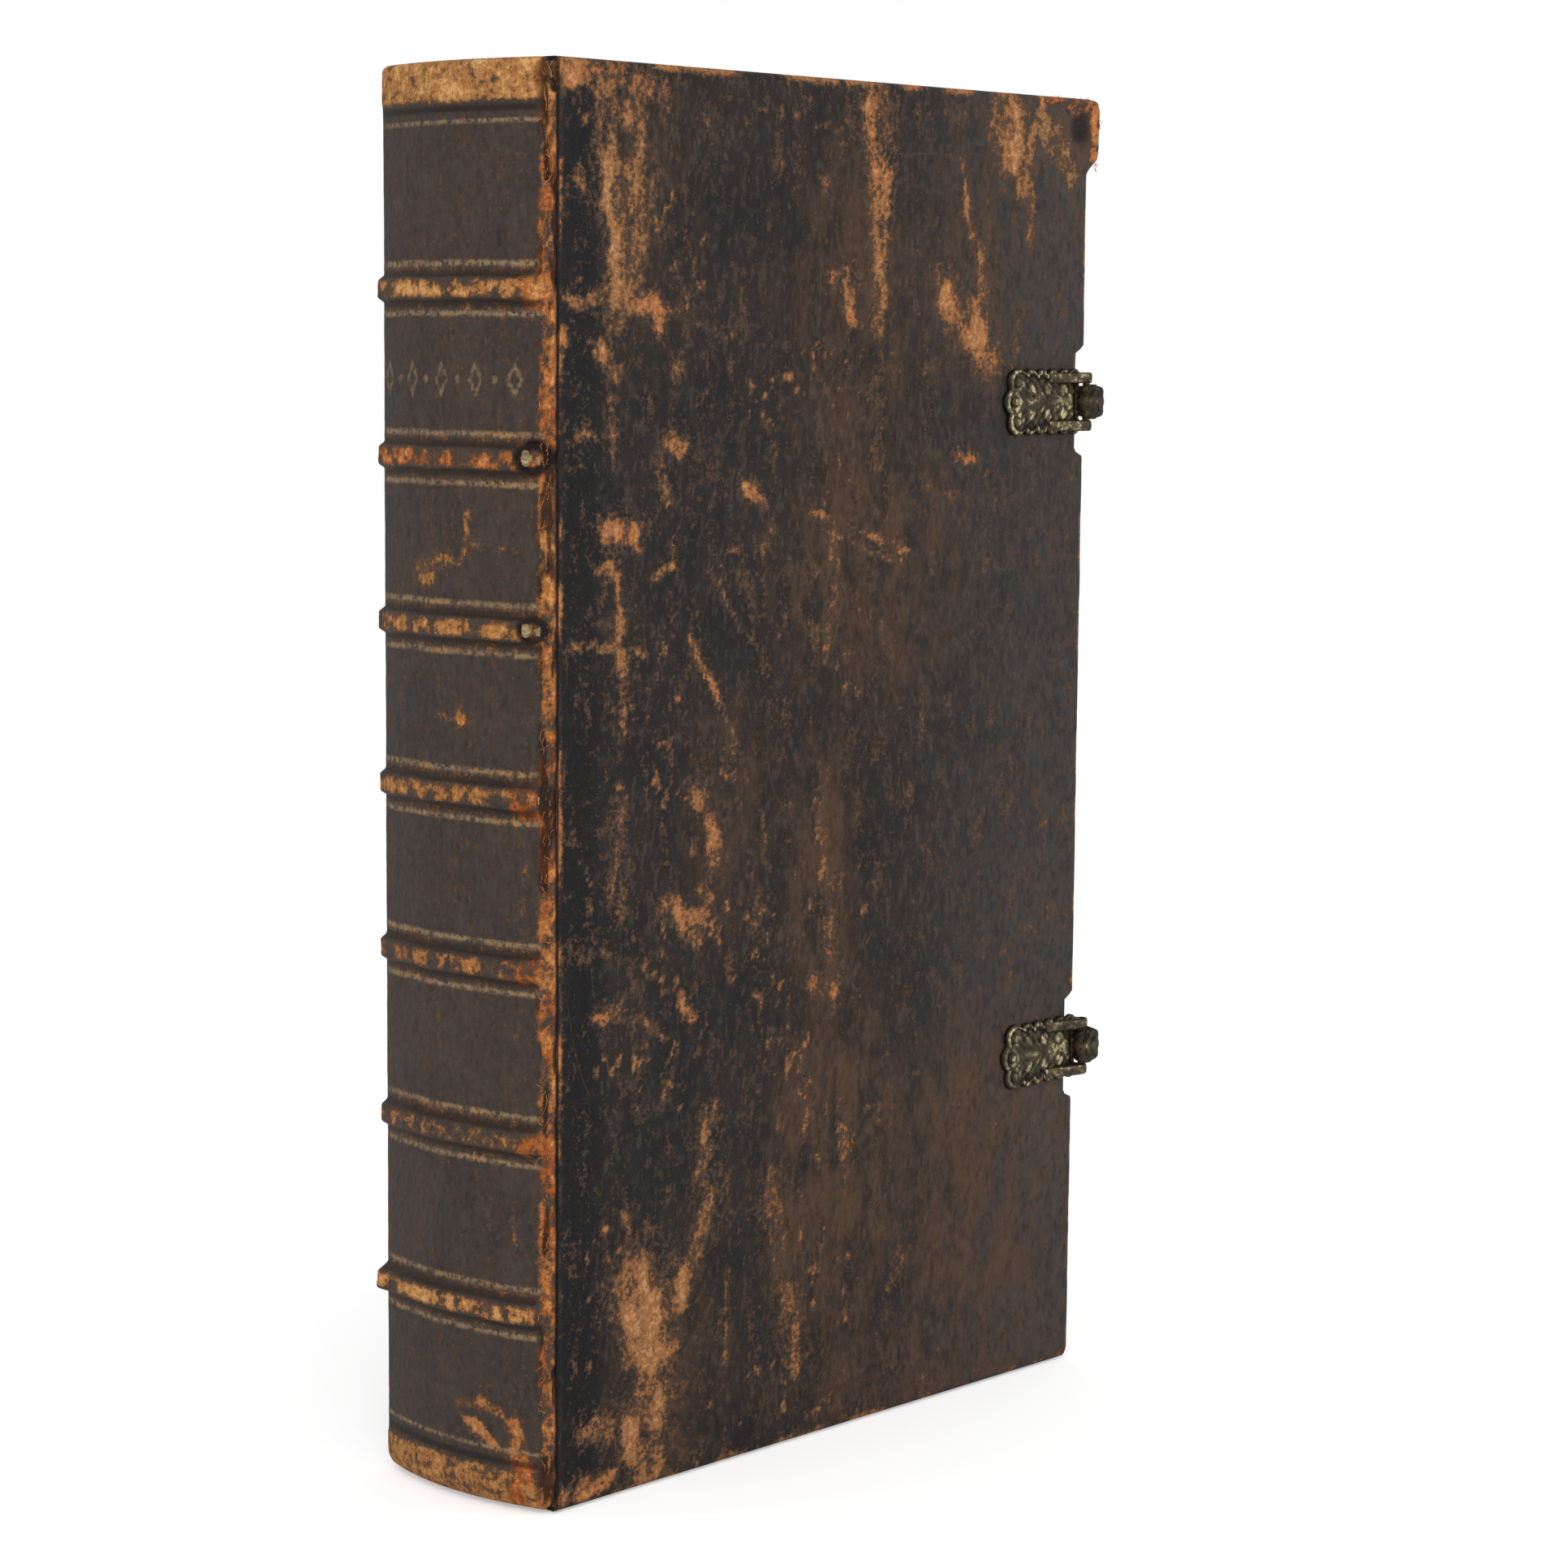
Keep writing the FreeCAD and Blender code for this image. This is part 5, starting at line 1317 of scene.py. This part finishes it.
# Materials for the CAD pieces that stay visible
cadLooks = {
    "spine_linings": liningPaper, "front_flyleaf": endPaper, "back_flyleaf": endPaper,
    "front_pastedown": endPaper, "back_pastedown": endPaper,
    "front_board": boardWood, "back_board": boardWood,
    "front_pegs": pegWood, "back_pegs": pegWood,
    "front_cord_slips": cordFibre, "back_cord_slips": cordFibre,
}
for index in range(1, 8):
    cadLooks["band_cord_%d" % index] = cordFibre
for word in ("upper", "lower"):
    cadLooks[word + "_catch_bar"] = pinBrass
    cadLooks[word + "_clasp_pin"] = pinBrass
for node, material in cadLooks.items():
    for slot in cadNodes[node].material_slots:
        slot.material = material
print("CAD pieces coloured")


# Studio: pale floor that runs out into a white world, soft lights, camera
studio = {
    "floorTint": tint(246, 246, 246), "floorGlow": 0.42, "floorHalf": 6000.0, "floorLevel": -0.4,
    "worldLevel": 0.62,
    "keyPower": 16.0, "keyFrom": (-1.5, -1.3, 1.7), "keySize": 1.3,
    "fillPower": 7.0, "fillFrom": (1.1, -1.9, 0.9), "fillSize": 1.4,
    "aim": (-0.02, 0.0, 0.17),
}


def buildFloor():
    material = bpy.data.materials.new("studio floor")
    material.use_nodes = True
    tree = material.node_tree
    tree.nodes.clear()
    end = tree.nodes.new("ShaderNodeOutputMaterial")
    matt = tree.nodes.new("ShaderNodeBsdfDiffuse")
    matt.inputs[0].default_value = studio["floorTint"]
    glow = tree.nodes.new("ShaderNodeEmission")
    glow.inputs[1].default_value = studio["floorGlow"]
    both = tree.nodes.new("ShaderNodeAddShader")
    pick = tree.nodes.new("ShaderNodeMixShader")
    rays = tree.nodes.new("ShaderNodeLightPath")
    tree.links.new(matt.outputs[0], both.inputs[0])
    tree.links.new(glow.outputs[0], both.inputs[1])
    tree.links.new(rays.outputs["Is Camera Ray"], pick.inputs[0])
    tree.links.new(matt.outputs[0], pick.inputs[1])
    tree.links.new(both.outputs[0], pick.inputs[2])
    tree.links.new(pick.outputs[0], end.inputs[0])
    mesh = bpy.data.meshes.new("floor")
    wide, level = studio["floorHalf"] * mm, studio["floorLevel"] * mm
    corners = [(-wide, -wide, level), (wide, -wide, level), (wide, wide, level), (-wide, wide, level)]
    mesh.from_pydata(corners, [], [[0, 1, 2, 3]])
    mesh.materials.append(material)
    floor = bpy.data.objects.new("floor", mesh)
    bpy.context.scene.collection.objects.link(floor)


def aimAt(thing, place, target):
    away = np.array(place, float) - np.array(target, float)
    away /= np.linalg.norm(away)
    side = np.cross((0.0, 0.0, 1.0), away)
    side /= np.linalg.norm(side)
    rise = np.cross(away, side)
    matrix = Matrix([[side[k], rise[k], away[k], place[k]] for k in range(3)] + [[0, 0, 0, 1]])
    thing.matrix_world = matrix


def softLight(name, place, power, size):
    light = bpy.data.lights.new(name, "AREA")
    light.energy = power
    light.size = size
    lamp = bpy.data.objects.new(name, light)
    bpy.context.scene.collection.objects.link(lamp)
    aimAt(lamp, place, studio["aim"])


def whiteWorld():
    world = bpy.data.worlds.new("studio air")
    bpy.context.scene.world = world
    world.use_nodes = True
    tree = world.node_tree
    tree.nodes.clear()
    end = tree.nodes.new("ShaderNodeOutputWorld")
    air = tree.nodes.new("ShaderNodeBackground")
    seen = tree.nodes.new("ShaderNodeBackground")
    pick = tree.nodes.new("ShaderNodeMixShader")
    rays = tree.nodes.new("ShaderNodeLightPath")
    air.inputs[0].default_value = (1, 1, 1, 1)
    air.inputs[1].default_value = studio["worldLevel"]
    seen.inputs[0].default_value = (1, 1, 1, 1)
    seen.inputs[1].default_value = 1.0
    tree.links.new(rays.outputs["Is Camera Ray"], pick.inputs[0])
    tree.links.new(air.outputs[0], pick.inputs[1])
    tree.links.new(seen.outputs[0], pick.inputs[2])
    tree.links.new(pick.outputs[0], end.inputs[0])


# Camera as in the photo, fitted to points read from it
shot = {
    "place": (-0.7301, -0.6887, 0.2938), "yaw": 47.13, "pitch": 6.84, "roll": 0.455,
    "focalPixels": 4608.0, "photoWidth": 1932.0, "sensor": 36.0,
}


def buildCamera():
    yaw, pitch, roll = (math.radians(shot[k]) for k in ("yaw", "pitch", "roll"))
    ahead = np.array([math.sin(yaw) * math.cos(pitch), math.cos(yaw) * math.cos(pitch), -math.sin(pitch)])
    right = np.array([math.cos(yaw), -math.sin(yaw), 0.0])
    up = np.cross(right, ahead)
    side = right * math.cos(roll) + up * math.sin(roll)
    rise = -right * math.sin(roll) + up * math.cos(roll)
    data = bpy.data.cameras.new("photo camera")
    data.sensor_width = shot["sensor"]
    data.lens = shot["focalPixels"] / shot["photoWidth"] * shot["sensor"]
    data.clip_start, data.clip_end = 0.01, 50.0
    camera = bpy.data.objects.new("photo camera", data)
    bpy.context.scene.collection.objects.link(camera)
    camera.matrix_world = Matrix([[side[k], rise[k], -ahead[k], shot["place"][k]] for k in range(3)]
                                 + [[0, 0, 0, 1]])
    bpy.context.scene.camera = camera


buildFloor()
softLight("key light", studio["keyFrom"], studio["keyPower"], studio["keySize"])
softLight("fill light", studio["fillFrom"], studio["fillPower"], studio["fillSize"])
whiteWorld()
buildCamera()
bpy.context.scene.view_settings.view_transform = "Standard"
print("studio ready")
